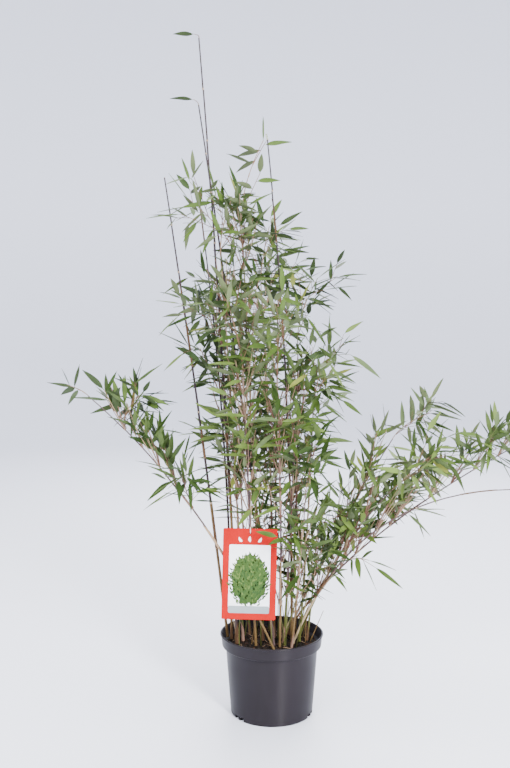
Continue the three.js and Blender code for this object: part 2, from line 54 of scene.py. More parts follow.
# Lights: name, place, width, height and watts. The floor runs flat, then curves up, in millimetres
LIGHTS = (
    ("key", (1.45, -3.0, 2.0), 0.55, 1.8, 310),
    ("fill", (-1.5, -2.9, 2.5), 2.0, 2.0, 130),
    ("back", (0.6, 2.6, 2.8), 2.4, 2.4, 170),
    ("top", (0, 0, 3.6), 2.6, 2.6, 130),
)
LIGHTS_AIM = Vector((0, 0, 0.6))
SKY = (0.86, 0.89, 0.95, 1)
SKY_STRENGTH = 1.3
FLOOR_COLOUR = (0.82, 0.84, 0.93)
FLOOR_FLAT = 4200
FLOOR_CURVE = 1800
FLOOR_TOP = 4200

# Pot and compost, as in the part's source
POT_HEIGHT = 168
FOOT_RADIUS = 86
SHOULDER_RADIUS = 96
RIM_RADIUS = 108
RIM_BAND = 25
WALL = 2.4
POT_FLOOR = 3
DRAIN_GROUPS = 3
DRAIN_FIRST = -22
DRAIN_WIDTH = 12
DRAIN_HEIGHT = 8
DRAIN_APART = 16
SOIL_TOP = 150
GAP = 0.3

# The pot's bends and smoothness, and the compost's rough top with what lies on it
POT_SIDES = 120
POT_SMOOTH = 32
POT_BEND = 2.4
LIP = 1.9
SOIL_REACH = SHOULDER_RADIUS - WALL - 0.6
SOIL_SINK = 3
SOIL_RISES = 5.5
SOIL_GRAIN = 0.035
SOIL_SIDES = 96
SOIL_RINGS = 34
SOIL_BASE = POT_HEIGHT - RIM_BAND - 8
CRUMBS = 2400
CRUMB_REACH = 0.985
CRUMB_FACES = [[0, 2, 4], [2, 1, 4], [1, 3, 4], [3, 0, 4],
               [2, 0, 5], [1, 2, 5], [3, 1, 5], [0, 3, 5]]
FIBRES = 90
FIBRE_REACH = 0.93
FIBRE_STOP = 0.95
FIBRE_LENGTH = (8, 26)
PALE_FIBRES = (
    ((46, -62, 0), (64, -58, 0), (84, -34, 0), 1.6),
    ((58, -66, 0), (70, -60, 0), (80, -44, 0), 1.1),
)

# Canes and sprays, as in the part's source
INTERNODE = 100
NODE_SWELL = 1.22
NODE_STEP = 3
TIP_SHARE = 0.42
FOOT_FLARE = 1.3
STEM_RADIUS = 1.9
TIP_GAP = 0.72
STEM_STEPS = 3
STEM_RISE = 0.4
STEM_SPREAD = 0.1
TWIG_RADIUS = 1.45
TWIGS = 3
TWIG_FIRST = 0.12
TWIG_LAST = 0.72
TWIG_LEAN = 30
TWIG_SHARE = 0.42
TWIG_LEAST = 14
TWIG_TRIES = (0, 60, -60, 120, -120, 180)
STEM_TRIES = (0, 14, -14, 28, -28, 42, -42, 60, -60, 80, -80)
GOLDEN_ANGLE = 137.5
LEAVES_AT = (1, 0.8, 0.6, 0.4, 0.2)
LEAF_LEANS = (16, 48, 54, 60, 66)
LEAF_LEAN_VARIES = 14
LEAF_TURN = 180
LEAF_TURN_VARIES = 40
LEAF_FALL = 0.12
LEAF_FALL_VARIES = 0.25
LEAF_ROLL = 80
LEAF_LENGTH = 68
LEAF_SHORTEST = 0.74
LEAF_LENGTH_VARIES = 0.36
LEAF_WIDTH = 12
LEAF_WIDEST = 0.38
LEAF_SINK = 0.7
LEAF_DROOP = 0.1
NECK_FROM = 0.2
NECK_TO = 0.45
NARROW_AT = 0.6
CLEARANCE = 0.6

# Where the random draws start
SOIL_SEED = 11
CANE_SEED = 500
NODE_SEED = 9000
SHOOT_SEED = 7000
PRINT_SEED = 77

# Label, as in the part's source
LABEL_WIDTH = 109
LABEL_HEIGHT = 186
LABEL_THICK = 1.2
LABEL_TOP = 403
LABEL_FRONT = -70
LABEL_ROLL = 1.5
HOLE_DROP = 9
LABEL_CANE = "cane_label"
LABEL_COLUMNS = (-0.42, -0.14, 0.14, 0.42)
LABEL_COLUMN_SHARE = 0.09

# What is on the card
BUSH_WIDE = 38
BUSH_HIGH = 54
BUSH_ROWS = 22
BUSH_COLUMNS = 20
PANEL_EDGE = 13
PANEL_DROP = 33
PANEL_ROUND = 3
BAND_HIGH = 15


def spray_row(compass, lift, length, **more):
    return dict(compass=compass, lift=lift, length=length, **more)


def cane_row(name, foot, tip, sway, width, **more):
    return dict(name="cane_" + name, foot=foot, tip=tip, sway=sway, width=width, **more)


# The canes, as in the part's source. between gives the first and last share of the cane with a side
# spray, and how many there are. leafy isn't in the source: it gives the first and last share with
# bundles of thin twigs, and the least number of twigs in each
CANES = [
    cane_row("tallest", (-72, -22), (-148, 8, 1390), (6, 0, 0), 6,
             end=spray_row(178, 30, 12, twigs=0, roll=16)),
    cane_row("second", (4, -34), (-151, 30, 1262), (4, 0, 0), 5.8,
             end=spray_row(180, 44, 14, twigs=0, roll=16)),
    cane_row("left_bare", (-93, 20), (-219, 0, 1110), (4, 0, 0), 5.8),
    cane_row("left_thin", (-84, 6), (-154, 45, 1088), (15, 0, 0), 5, leafy=(0.45, 0.7, 2),
             side=spray_row(205, 66, 100, between=(0.6, 0.6, 1))),
    cane_row("right_bare", (42, 4), (-10, 12, 1188), (14, 0, 0), 5.4),
    cane_row("middle", (-18, -2), (-62, -4, 1022), (-2, 0, 0), 5.6, leafy=(0.25, 0.98, 6),
             end=spray_row(20, 74, 170, twigs=2, leaf=1.1, roll=50),
             side=spray_row(186, 52, 180, between=(0.9, 0.9, 1), twigs=4)),
    cane_row("label", (-33, -34), (-59, -90, 720), (0, 0, 0), 6.2, leafy=(0.38, 0.97, 5),
             end=spray_row(200, 76, 150, twigs=4)),
    cane_row("upper_left", (-60, -4), (-104, -24, 950), (4, 0, 0), 5.2, leafy=(0.36, 0.97, 6),
             end=spray_row(20, 78, 120, twigs=4),
             side=spray_row(185, 62, 120, between=(0.76, 0.76, 1))),
    cane_row("front", (16, -40), (8, -122, 700), (4, 6, 0), 5.6, leafy=(0.12, 0.97, 4),
             end=spray_row(300, 74, 140, twigs=4),
             side=spray_row(350, 70, 140, between=(0.4, 0.4, 1))),
    cane_row("right_front", (40, -44), (64, -96, 470), (2, 2, 0), 4.8, leafy=(0.05, 0.97, 4),
             end=spray_row(310, 74, 110)),
    cane_row("centre", (6, 14), (-22, 30, 880), (4, 0, 0), 5.4, leafy=(0.24, 0.97, 6),
             end=spray_row(60, 76, 140, twigs=4)),
    cane_row("right_upper", (40, 30), (54, 36, 775), (6, 0, 0), 5.4, leafy=(0.12, 0.97, 6),
             end=spray_row(10, 72, 140, twigs=4),
             side=spray_row(350, 68, 140, between=(0.6, 0.6, 1))),
    cane_row("right_inner", (24, -18), (42, -92, 560), (2, 4, 0), 5, leafy=(0.1, 0.97, 4),
             end=spray_row(20, 76, 130)),
    cane_row("right_outer", (58, -10), (82, -54, 640), (2, 0, 0), 5.2, leafy=(0.1, 0.45, 4),
             end=spray_row(350, 76, 130, twigs=4),
             side=spray_row(330, 70, 110, between=(0.2, 0.2, 1))),
    cane_row("right_short", (74, -2), (94, -8, 380), (2, 0, 0), 4.6, leafy=(0.1, 0.97, 3),
             end=spray_row(350, 30, 76)),
    cane_row("back_left", (-46, 34), (-86, 128, 760), (0, -8, 0), 5.2, leafy=(0.3, 0.97, 4),
             end=spray_row(130, 72, 150, twigs=4),
             side=spray_row(170, 68, 140, between=(0.5, 0.5, 1))),
    cane_row("back", (6, 48), (16, 172, 820), (0, -10, 0), 5.4, leafy=(0.25, 0.97, 4),
             end=spray_row(84, 72, 150, twigs=4)),
    cane_row("left_arching", (4, -58), (-372, -46, 670), (22, 0, 30), 5, leafy=(0.52, 0.97, 7),
             end=spray_row(182, 30, 30, twigs=1),
             side=spray_row(230, 66, 76, between=(0.44, 0.84, 2))),
    cane_row("right_low", (44, -22), (490, -34, 476), (-52, 0, 78), 4.4, leafy=(0.2, 0.62, 3),
             end=spray_row(350, 50, 80),
             side=spray_row(345, 6, 50, between=(0.32, 0.32, 1), twigs=2, roll=40)),
    cane_row("right_flat", (26, 14), (530, 30, 566), (-66, 0, 0), 4.6, leafy=(0.34, 0.97, 6),
             end=spray_row(10, 36, 50, twigs=2),
             side=spray_row(250, 58, 90, between=(0.42, 0.88, 4))),
    cane_row("right_rising", (36, 46), (264, 90, 565), (-8, 0, 4), 4.4, leafy=(0.3, 0.97, 6),
             end=spray_row(4, 34, 96), side=spray_row(350, 30, 104, between=(0.6, 0.6, 1))),
    cane_row("right_branching", (58, 16), (246, -34, 476), (-12, 0, 20), 4.4,
             leafy=(0.25, 0.97, 6), end=spray_row(8, 40, 130, twigs=4)),
]

# Finer growth than the source's, within the same reach
TWIG_SIDES = 6
STEM_THICK = (1.25, 0.75)
TWIG_THICK = (0.8, 0.5)
FINE_THICK = (0.55, 0.4)
FINE_AT = (0.22, 0.5, 0.78)
FINE_LEAN = 38
FINE_SHARE = 0.42
FINE_LEAVES = ((1, 20), (0.7, 56))
FINE_LEAF = 0.96
FINE_NARROW = 0.8

# Growth at the nodes that carry no spray in the source: bundles of thin twigs, close to the cane
NODE_LIFT = 17
NODE_TWIG_LENGTH = (44, 66)
NODE_LEAVES = ((1, 26), (0.9, 52), (0.72, 64))
NODE_SKIPS = 0.05
HALF_WAY_SKIPS = 0.5
MORE_ABOVE = 430
MORE_TWIGS = 3
MOST_ABOVE = 640
MOST_TWIGS = 5
FINE_ROLL = 100
FINE_SIDES = 5
BARE_TWIGS = 0.3
ARCHING_BARE_TWIGS = 0.56
ARCHING_LEAF = 0.84
ARCHING_RISE = 0.45
BUNDLE_THICK = (1.0, 0.5)
SHOOTS = 4
SHOOT_OFF = (6, 9)
SHOOT_LEAN = 20
SHOOT_LENGTH = (60, 240)
SHOOT_THICK = (1.3, 0.6)
SHOOT_LEAFY = 150
SHOOT_LEAVES = 3
SHOOT_COLOURS = {"cane_green": 6, "cane_ochre": 4, "twig_tan": 2, "cane_straw": 1}
COLLARS_AT = (0.3, 0.62)
REACH_MORE = 4
LEAF_LOWEST = SOIL_TOP + 20

# Canes that differ: nearly bare ones, dark ones, ones whose leaves mostly take painted shade, ones
# that arch out, ones whose leaves rise and ones that are stouter, with dark sheaths
BARE_CANES = ("cane_tallest", "cane_second", "cane_left_bare", "cane_right_bare")
DARK_CANES = (*BARE_CANES, "cane_left_thin")
DARK_FROM = 0.22
LEFT_CANE = "cane_left_arching"
SHADE_PAINTED_CANES = (LEFT_CANE, "cane_right_upper", "cane_right_outer", "cane_centre", "cane_back")
ARCHING_CANES = ("cane_right_low", "cane_right_flat", "cane_right_rising", "cane_right_branching")
RISING_CANES = (*ARCHING_CANES, LEFT_CANE)
STOUT_CANES = DARK_CANES + ARCHING_CANES
BROWN_FROM = 0.1
FOOT_SHARE = 0.24
STOUT = 1.14
CANE_SIDES = 10
CANE_JOG = 0.5
SHEATHS = 0.62
BARE_SHEATHS = 0.34
SHEATH_ROWS = 7
SHEATH_COLUMNS = 9
SHEATH_POINT = 9

BLADE_WIDTH = 11
BLADE_ROLL = 60
BLADE_FOLD = 0.12
BLADE_THICK = 0.35
BLADE_WAVE = 0.05
BLADE_NECK = 0.06
BLADE_NECK_WIDTH = 0.09
BLADE_SHARES = [0, BLADE_NECK, 0.15, 0.26, LEAF_WIDEST, 0.54, 0.7, 0.84, 0.94, 1]

# Colours. Print has a colour and a roughness. Canes, sheaths, twigs and compost have a lit and a
# dark colour, a roughness and how fine their pattern is
LEAF_COLOURS = {
    "leaf_mid": (0.050, 0.090, 0.014),
    # A darker copy of the mid green: painted shade, for leaves in shadow
    "leaf_deep": (0.022, 0.045, 0.008),
    # A lighter copy of the mid green: painted light, for leaves lit from behind
    "leaf_light": (0.092, 0.145, 0.030),
    "leaf_yellow": (0.140, 0.165, 0.030),
    "leaf_grey": (0.076, 0.112, 0.044),
}

# How often each leaf colour comes, in that order: in the column, on arching canes, which take more
# of the painted light, and on canes whose leaves mostly take painted shade
COLUMN_TONES = (42, 20, 22, 3, 13)
ARCHING_TONES = (20, 3, 34, 4, 39)
SHADE_PAINTED_TONES = (34, 46, 13, 1, 6)
GREY_UNDER = 0.42
OTHER_COLOUR = 0.3
UNDER_COLOURS = {
    "under_grey": (0.096, 0.124, 0.056),
    "under_green": (0.056, 0.088, 0.024),
    # A darker copy of the under green: painted shade, for the undersides of shaded leaves
    "under_deep": (0.034, 0.054, 0.018),
}
CANE_COLOURS = {
    "cane_tan": ((0.347, 0.236, 0.161), (0.186, 0.105, 0.068), 0.5, 1),
    "cane_straw": ((0.384, 0.298, 0.174), (0.223, 0.149, 0.081), 0.55, 1),
    "cane_green": ((0.100, 0.110, 0.026), (0.042, 0.043, 0.013), 0.4, 1),
    "cane_ochre": ((0.150, 0.094, 0.034), (0.058, 0.032, 0.014), 0.5, 1),
    "cane_purple": ((0.034, 0.020, 0.021), (0.015, 0.008, 0.010), 0.4, 1),
    "cane_mauve": ((0.105, 0.068, 0.070), (0.044, 0.026, 0.031), 0.45, 1),
    "cane_brown": ((0.088, 0.055, 0.048), (0.040, 0.023, 0.022), 0.5, 1),
    "cane_ring": ((0.384, 0.310, 0.223), (0.217, 0.136, 0.087), 0.7, 1),
    "sheath": ((0.350, 0.254, 0.152), (0.210, 0.128, 0.078), 0.75, 2),
    "sheath_dark": ((0.120, 0.064, 0.032), (0.052, 0.026, 0.013), 0.75, 2),
    "sheath_pink": ((0.262, 0.160, 0.114), (0.145, 0.074, 0.054), 0.72, 2),
    "twig_red": ((0.149, 0.062, 0.040), (0.074, 0.031, 0.025), 0.5, 1),
    "twig_tan": ((0.223, 0.136, 0.074), (0.124, 0.068, 0.037), 0.55, 1),
    "twig_green": ((0.124, 0.136, 0.043), (0.074, 0.074, 0.025), 0.5, 1),
}
SOIL_COLOURS = {
    "soil_peat": ((0.013, 0.0075, 0.005), (0.004, 0.003, 0.002), 0.95, 160),
    "soil_dark": ((0.010, 0.007, 0.005), (0.004, 0.003, 0.002), 0.95, 200),
    "soil_bark": ((0.052, 0.022, 0.011), (0.018, 0.008, 0.005), 0.85, 240),
    "soil_root": ((0.260, 0.175, 0.100), (0.130, 0.075, 0.042), 0.6, 120),
}
PRINT_COLOURS = {
    "print_red": ((0.37, 0.0015, 0.0006), 0.7),
    "print_pale": ((0.94, 0.96, 0.98), 0.4),
    "print_grey": ((0.26, 0.30, 0.31), 0.4),
    "print_leaf": ((0.036, 0.076, 0.013), 0.4),
    "print_leaf_dark": ((0.024, 0.060, 0.012), 0.4),
    "print_leaf_light": ((0.080, 0.130, 0.026), 0.4),
}


# The rule that places stems, twigs and leaves, as in the part's source


class Seeded:
    """Numbers from 0 to 1 that come out the same each time for the same seed."""

    def __init__(self, seed):
        self.state = seed

    def __call__(self):
        full = 0xFFFFFFFF
        self.state = (self.state + 0x6D2B79F5) & full
        mixed = self.state
        mixed = ((mixed ^ (mixed >> 15)) * (mixed | 1)) & full
        mixed ^= (mixed + ((mixed ^ (mixed >> 7)) * (mixed | 61))) & full
        return (mixed ^ (mixed >> 14)) / (full + 1)


def heading(compass, lift):
    level = math.cos(math.radians(lift))
    return Vector((
        level * math.cos(math.radians(compass)),
        level * math.sin(math.radians(compass)),
        math.sin(math.radians(lift)),
    ))


def across(along):
    level = along.cross(UP)
    return level.normalized() if level.length_squared > 1e-4 else Vector((1, 0, 0))


def turned(vector, axis, angle):
    return Matrix.Rotation(angle, 3, axis) @ vector


def leaned(along, turn, angle):
    side = turned(across(along), along, math.radians(turn))
    return along * math.cos(math.radians(angle)) + side * math.sin(math.radians(angle))


def cane_curve(cane):
    foot = Vector((*cane["foot"], SOIL_TOP + GAP))
    tip = Vector(cane["tip"])
    return foot, foot.lerp(tip, 0.5) + Vector(cane["sway"]) * 2, tip


def curve_point(curve, share):
    a, b, c = curve
    return a * (1 - share) ** 2 + b * (2 * share * (1 - share)) + c * share ** 2


def curved(curve, steps):
    return [curve_point(curve, step / steps) for step in range(steps + 1)]


def curve_along(curve, share):
    a, b, c = curve
    return ((b - a) * (1 - share) + (c - b) * share).normalized()


def off_curve(curve, share, turn):
    """The direction off a curve at a share of it, turned round it by so many degrees."""
    along = curve_along(curve, share)
    return turned(across(along), along, math.radians(turn))


def curve_length(curve, steps=200):
    points = curved(curve, steps)
    return sum((after - before).length for before, after in zip(points, points[1:]))


def nodes_of(cane):
    return round(curve_length(cane_curve(cane)) / INTERNODE)


def cane_radius(cane, share):
    return cane["width"] / 2 * (1 - (1 - TIP_SHARE) * share)


def cane_sections(cane):
    curve = cane_curve(cane)
    length = curve_length(curve)
    count = nodes_of(cane)
    shares = [(0, FOOT_FLARE)]
    for node in range(1, count):
        shares += [(node / count, NODE_SWELL), (node / count + NODE_STEP / length, 1)]
    shares.append((1, 1))
    return [(curve_point(curve, share), cane_radius(cane, share) * swell)
            for share, swell in shares]


class Claims:
    """What each node has taken up: lines with a radius round them."""

    def __init__(self):
        self.owners = []
        self.rows = []
        self.table = None
        self.names = None

    def add(self, owner, start, end, radius):
        self.owners.append(owner)
        self.rows.append((*start, *end, radius))
        self.table = None

    def clear(self, start, end, radius, *owners):
        """Whether a line keeps clear of all that isn't one of these owners' own."""
        if self.table is None:
            self.table = np.array(self.rows, dtype=float)
            self.names = np.array(self.owners, dtype=object)
        keep = np.ones(len(self.rows), dtype=bool)
        for owner in owners:
            keep &= self.names != owner
        other = self.table[keep]
        gap = line_gaps(np.array(start), np.array(end), other[:, 0:3], other[:, 3:6])
        return bool(np.all(gap > radius + other[:, 6] + CLEARANCE))


def line_gaps(a, b, c, d):
    """How far the line from a to b is from each of the lines from c to d."""
    first = b - a
    second = d - c
    between = a - c
    first_sq = first @ first
    second_sq = np.einsum("ij,ij->i", second, second)
    cross = second @ first
    on_first = between @ first
    on_second = np.einsum("ij,ij->i", between, second)
    spread = first_sq * second_sq - cross * cross
    safe = np.where(spread > 1e-9, spread, 1)
    s = np.clip((cross * on_second - on_first * second_sq) / safe, 0, 1)
    s = np.where(spread > 1e-9, s, 0)
    t = np.clip((cross * s + on_second) / second_sq, 0, 1)
    s = np.clip((cross * t - on_first) / first_sq, 0, 1)
    apart = a + first * s[:, None] - c - second * t[:, None]
    return np.sqrt(np.einsum("ij,ij->i", apart, apart))


claims = Claims()
limbs = Claims()


def sprays_of(cane):
    """A cane's sprays with the share of it where each stands, the side ones first."""
    sprays = []
    if "side" in cane:
        side = dict(cane["side"])
        first, last, many = side.pop("between")
        count = nodes_of(cane)
        for index in range(many):
            share = first + (last - first) * index / max(1, many - 1)
            at = math.floor(count * share + 0.5) / count
            sprays.append({**side, "at": at, "compass": side["compass"] + GOLDEN_ANGLE * index})
    if "end" in cane:
        sprays.append({**cane["end"], "at": 1})
    return sprays


def stem_curve(cane, spray, more):
    curve = cane_curve(cane)
    out = heading(spray["compass"] + more, spray["lift"])
    along = curve_along(curve, spray["at"])
    off = (out - along * out.dot(along)).normalized()
    start = curve_point(curve, spray["at"])
    at_tip = spray["at"] == 1
    if at_tip:
        start = start + along * TIP_GAP
    else:
        start = start + off * (cane_radius(cane, spray["at"]) * NODE_SWELL + STEM_RADIUS + GAP)
    bend = start + along * (spray["length"] * STEM_RISE)
    if not at_tip:
        bend += off * (spray["length"] * STEM_SPREAD)
    return start, bend, start + out * spray["length"]


def place_stem(cane, spray, name):
    for more in STEM_TRIES:
        curve = stem_curve(cane, spray, more)
        stem = curved(curve, STEM_STEPS)
        clear = True
        for index in range(STEM_STEPS):
            owner = cane["name"] if index == 0 or spray["at"] == 1 else name
            clear = clear and claims.clear(stem[index], stem[index + 1], STEM_RADIUS, owner)
        if clear:
            return curve, stem
    raise ValueError(name + " has no room for its stem")


def twig_of(stem, share, turn, length, name):
    place = share * (len(stem) - 1)
    below, above = stem[int(place)], stem[int(place) + 1]
    start = below.lerp(above, place % 1)
    stem_along = (above - below).normalized()
    for more in TWIG_TRIES:
        along = leaned(stem_along, turn + more, TWIG_LEAN)
        end = start + along * length
        if claims.clear(start, end, TWIG_RADIUS, name):
            return dict(start=start, end=end, along=along)
    return None


def new_leaf(root, along, size, width, rolls, draw, roll=0, shortest=LEAF_SHORTEST,
             varies=LEAF_LENGTH_VARIES):
    """A leaf: where it starts and points, and its length and roll, which vary by draw."""
    return dict(
        root=root,
        along=along.normalized(),
        length=LEAF_LENGTH * size * (shortest + varies * draw()),
        width=width,
        roll=math.radians(roll + rolls * (draw() - 0.5)),
    )


def leaves_of(twig, spray, draw):
    size = spray.get("leaf", 1)
    turn = draw() * 360
    leaves = []
    for index, share in enumerate(LEAVES_AT):
        lean = LEAF_LEANS[index] + LEAF_LEAN_VARIES * draw()
        along = leaned(twig["along"], turn + LEAF_TURN * index + LEAF_TURN_VARIES * draw(), lean)
        along.z -= LEAF_FALL + LEAF_FALL_VARIES * draw()
        root = twig["start"].lerp(twig["end"], share) - twig["along"] * LEAF_SINK
        width = LEAF_WIDTH * math.sqrt(size)
        leaves.append(new_leaf(root, along, size, width, LEAF_ROLL, draw, spray.get("roll", 0)))
    return leaves


def leaf_room(leaf):
    """The lines and radii that a leaf takes up: its neck, its middle and its end."""
    root = leaf["root"]
    widest = root + leaf["along"] * (leaf["length"] * LEAF_WIDEST)
    tip = root + leaf["along"] * leaf["length"] - UP * (LEAF_DROOP * leaf["length"])
    neck = root.lerp(widest, NECK_TO)
    narrow = widest.lerp(tip, NARROW_AT)
    return [
        (root.lerp(neck, NECK_FROM), neck, leaf["width"] / 4),
        (neck, narrow, leaf["width"] / 2),
        (narrow, tip, leaf["width"] / 4),
    ]


def place_leaf(leaf, name):
    blades = name + " blades"
    neck, *blade = leaf_room(leaf)
    clear = claims.clear(*neck, name, blades)
    clear = clear and all(claims.clear(*part, name) for part in blade)
    if clear:
        for start, end, radius in (neck, *blade):
            claims.add(blades, start, end, radius)
    return clear


def grow_spray(spray, name, stem, seed):
    before, end = stem[-2:]
    axes = [dict(start=before, end=end, along=(end - before).normalized())]
    count = spray.get("twigs", TWIGS)
    for twig in range(count):
        share = TWIG_FIRST + (TWIG_LAST - TWIG_FIRST) * (twig / (count - 1) if count > 1 else 1)
        length = spray["length"] * TWIG_SHARE + TWIG_LEAST
        axis = twig_of(stem, share, spray["compass"] + GOLDEN_ANGLE * twig, length, name)
        if axis:
            axes.append(axis)
    for axis in axes[1:]:
        claims.add(name, axis["start"], axis["end"], TWIG_RADIUS)
    grown = []
    for index, axis in enumerate(axes):
        grown += leaves_of(axis, spray, Seeded(seed + index))
    if count == 0:
        grown = grown[:1]
    return axes, [leaf for leaf in grown if place_leaf(leaf, name)]


def grow_plant():
    """Every cane's sprays, in the source's order, so that the same pieces find room."""
    held = next(cane for cane in CANES if cane["name"] == LABEL_CANE)
    hole_at = (LABEL_TOP - HOLE_DROP - SOIL_TOP) / (held["tip"][2] - SOIL_TOP)
    across_card = curve_point(cane_curve(held), hole_at).x
    hole = Vector((across_card, LABEL_FRONT, LABEL_TOP - HOLE_DROP))
    foot = Vector((across_card, LABEL_FRONT, LABEL_TOP - LABEL_HEIGHT))
    for share in LABEL_COLUMNS:
        shift = Vector((LABEL_WIDTH * share, 0, 0))
        for kept in (claims, limbs):
            kept.add("label", hole + shift, foot + shift, LABEL_WIDTH * LABEL_COLUMN_SHARE)
    for cane in CANES:
        sections = cane_sections(cane)
        for (start, radius), (end, _) in zip(sections, sections[1:]):
            for kept in (claims, limbs):
                kept.add(cane["name"], start, end, radius * NODE_SWELL)
    placed = []
    for row, cane in enumerate(CANES):
        for place, spray in enumerate(sprays_of(cane)):
            name = cane["name"].replace("cane", "leaves") + "_" + str(place + 1)
            curve, stem = place_stem(cane, spray, name)
            for start, end in zip(stem, stem[1:]):
                claims.add(name, start, end, STEM_RADIUS)
                limbs.add(name, start, end, STEM_THICK[0])
            placed.append(dict(cane=cane, spray=spray, name=name, curve=curve, stem=stem,
                               seed=1000 * (row + 1) + 10 * place))
    for each in placed:
        each["axes"], each["leaves"] = grow_spray(
            each["spray"], each["name"], each["stem"], each["seed"])
    return placed, hole


# Mesh code


def linked(name, data):
    obj = bpy.data.objects.new(name, data)
    bpy.context.scene.collection.objects.link(obj)
    return obj


class Pile:
    """Points, faces and their materials, gathered into one mesh."""

    def __init__(self):
        self.points = []
        self.faces = []
        self.slots = []
        self.uvs = []

    def add(self, points, faces, slots, uvs=None):
        """Adds points and faces over them. slots is one material's name, or one for each face."""
        first = len(self.points)
        self.points += [tuple(point) for point in points]
        self.slots += [slots] * len(faces) if isinstance(slots, str) else slots
        uvs = uvs or [(0, 0)] * len(points)
        for face in faces:
            self.faces.append([first + corner for corner in face])
            self.uvs += [uvs[corner] for corner in face]

    def piece(self, name, materials, record_slot, *replaced, smooth=True):
        order = sorted(set(self.slots))
        mesh = bpy.data.meshes.new(name)
        mesh.from_pydata([Vector(point) * MM for point in self.points], [], self.faces)
        mesh.polygons.foreach_set("material_index", [order.index(slot) for slot in self.slots])
        mesh.polygons.foreach_set("use_smooth", [smooth] * len(self.faces))
        layer = mesh.uv_layers.new(name="uv")
        layer.data.foreach_set("uv", [number for uv in self.uvs for number in uv])
        for slot in order:
            mesh.materials.append(materials[slot])
        mesh.update()
        obj = linked(name, mesh)
        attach(obj, "root")
        if replaced:
            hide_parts(*replaced)


def frames_along(points):
    """Two vectors across the line at each point, turned as little as possible."""
    alongs = []
    for index in range(len(points)):
        before = points[max(index - 1, 0)]
        after = points[min(index + 1, len(points) - 1)]
        alongs.append((after - before).normalized())
    side = across(alongs[0])
    frames = []
    for along in alongs:
        side = (side - along * side.dot(along)).normalized()
        frames.append((side, along.cross(side)))
    return frames


def tube(pile, points, radii, sides, slots):
    """A closed round tube. slots is one material's name, or one for each stretch between points."""
    ring = []
    uvs = []
    faces = []
    run = 0
    for index, (point, (side, front)) in enumerate(zip(points, frames_along(points))):
        run += (point - points[max(index - 1, 0)]).length
        for corner in range(sides):
            turn = 2 * math.pi * corner / sides
            out = side * math.cos(turn) + front * math.sin(turn)
            ring.append(point + out * radii[index])
            uvs.append((corner / sides, run / 10))
    last = len(ring) - sides
    for low in range(0, last, sides):
        for corner in range(sides):
            after = (corner + 1) % sides
            faces.append([low + corner, low + after, low + sides + after, low + sides + corner])
    faces += [list(range(sides))[::-1], list(range(last, len(ring)))]
    if not isinstance(slots, str):
        slots = [slot for slot in slots for _ in range(sides)] + [slots[-1]] * 2
    pile.add(ring, faces, slots, uvs)


def taper(thick, steps):
    first, last = thick
    return [first + (last - first) * step / steps for step in range(steps + 1)]


def tapered(pile, curve, thick, steps, sides, slot):
    """A tapering tube along a curve. It returns the points along its middle."""
    points = curved(curve, steps)
    tube(pile, points, taper(thick, steps), sides, slot)
    return points


def blade_width(share):
    """A leaf's half width from its neck to its drawn-out tip, 1 at its widest."""
    if share <= LEAF_WIDEST:
        rise = max(0, share - BLADE_NECK) / (LEAF_WIDEST - BLADE_NECK)
        return BLADE_NECK_WIDTH + (1 - BLADE_NECK_WIDTH) * math.sin(rise * math.pi / 2) ** 0.75
    fall = (share - LEAF_WIDEST) / (1 - LEAF_WIDEST)
    return max(0.0, (1 - fall ** 1.9) * (1 - 0.1 * fall))


def blade(pile, leaf, upper, under, bend):
    """A leaf, folded a little along its midrib and arched over, with an upper and an under side."""
    along = leaf["along"]
    side = turned(across(along), along, leaf["roll"])
    down = along.cross(side)
    length = leaf["length"]
    half = leaf["blade"] / 2
    tops = []
    lows = []
    uvs = []
    for share in BLADE_SHARES:
        middle = leaf["root"] + along * (length * share) - UP * (bend * length * share * share)
        width = half * blade_width(share)
        wave = down * (BLADE_WAVE * half * math.sin(9 * share + leaf["wave"]))
        crease = middle + down * (width * 2 * BLADE_FOLD)
        left = middle + side * width + wave
        right = middle - side * width - wave
        tops += [left, crease, right]
        lows += [left, crease + down * BLADE_THICK, right]
        uvs += [(0, share), (0.5, share), (1, share)]
    faces = []
    for low in range(0, len(tops) - 3, 3):
        for column in (low, low + 1):
            faces.append([column, column + 1, column + 4, column + 3])
    pile.add(tops, faces, upper, uvs)
    pile.add(lows, [face[::-1] for face in faces], under, uvs)


# Materials


def material(name, colour, roughness, specular=0.5):
    made = bpy.data.materials.new(name)
    made.use_nodes = True
    tree = made.node_tree
    shader = tree.nodes["Principled BSDF"]
    shader.inputs["Base Color"].default_value = (*colour, 1)
    shader.inputs["Roughness"].default_value = roughness
    shader.inputs["Specular IOR Level"].default_value = specular
    return made, tree, shader


def texture(tree, kind, stretch=(1, 1, 1), uv=False, **inputs):
    """A texture over the object, or along and across a leaf or cane, stretched."""
    source = tree.nodes.new("ShaderNodeTexCoord")
    mapping = tree.nodes.new("ShaderNodeMapping")
    mapping.inputs["Scale"].default_value = stretch
    made = tree.nodes.new("ShaderNodeTex" + kind)
    for key, value in inputs.items():
        made.inputs[key].default_value = value
    tree.links.new(source.outputs["UV" if uv else "Object"], mapping.inputs["Vector"])
    tree.links.new(mapping.outputs["Vector"], made.inputs["Vector"])
    return made


def mottled(name, colour, roughness, specular, stops, scale, detail, stretch=(1, 1, 1),
            uv=False):
    """A material that runs between colours by a noise: stops are (place, colour)."""
    made, tree, shader = material(name, colour, roughness, specular)
    cloud = texture(tree, "Noise", stretch, uv, Scale=scale, Detail=detail)
    ramp = tree.nodes.new("ShaderNodeValToRGB")
    elements = ramp.color_ramp.elements
    for index, (at, tone) in enumerate(stops):
        element = elements[index] if index < 2 else elements.new(at)
        element.position = at
        element.color = (*tone, 1)
    tree.links.new(cloud.outputs["Fac"], ramp.inputs["Fac"])
    tree.links.new(ramp.outputs["Color"], shader.inputs["Base Color"])
    return made, tree, shader, cloud


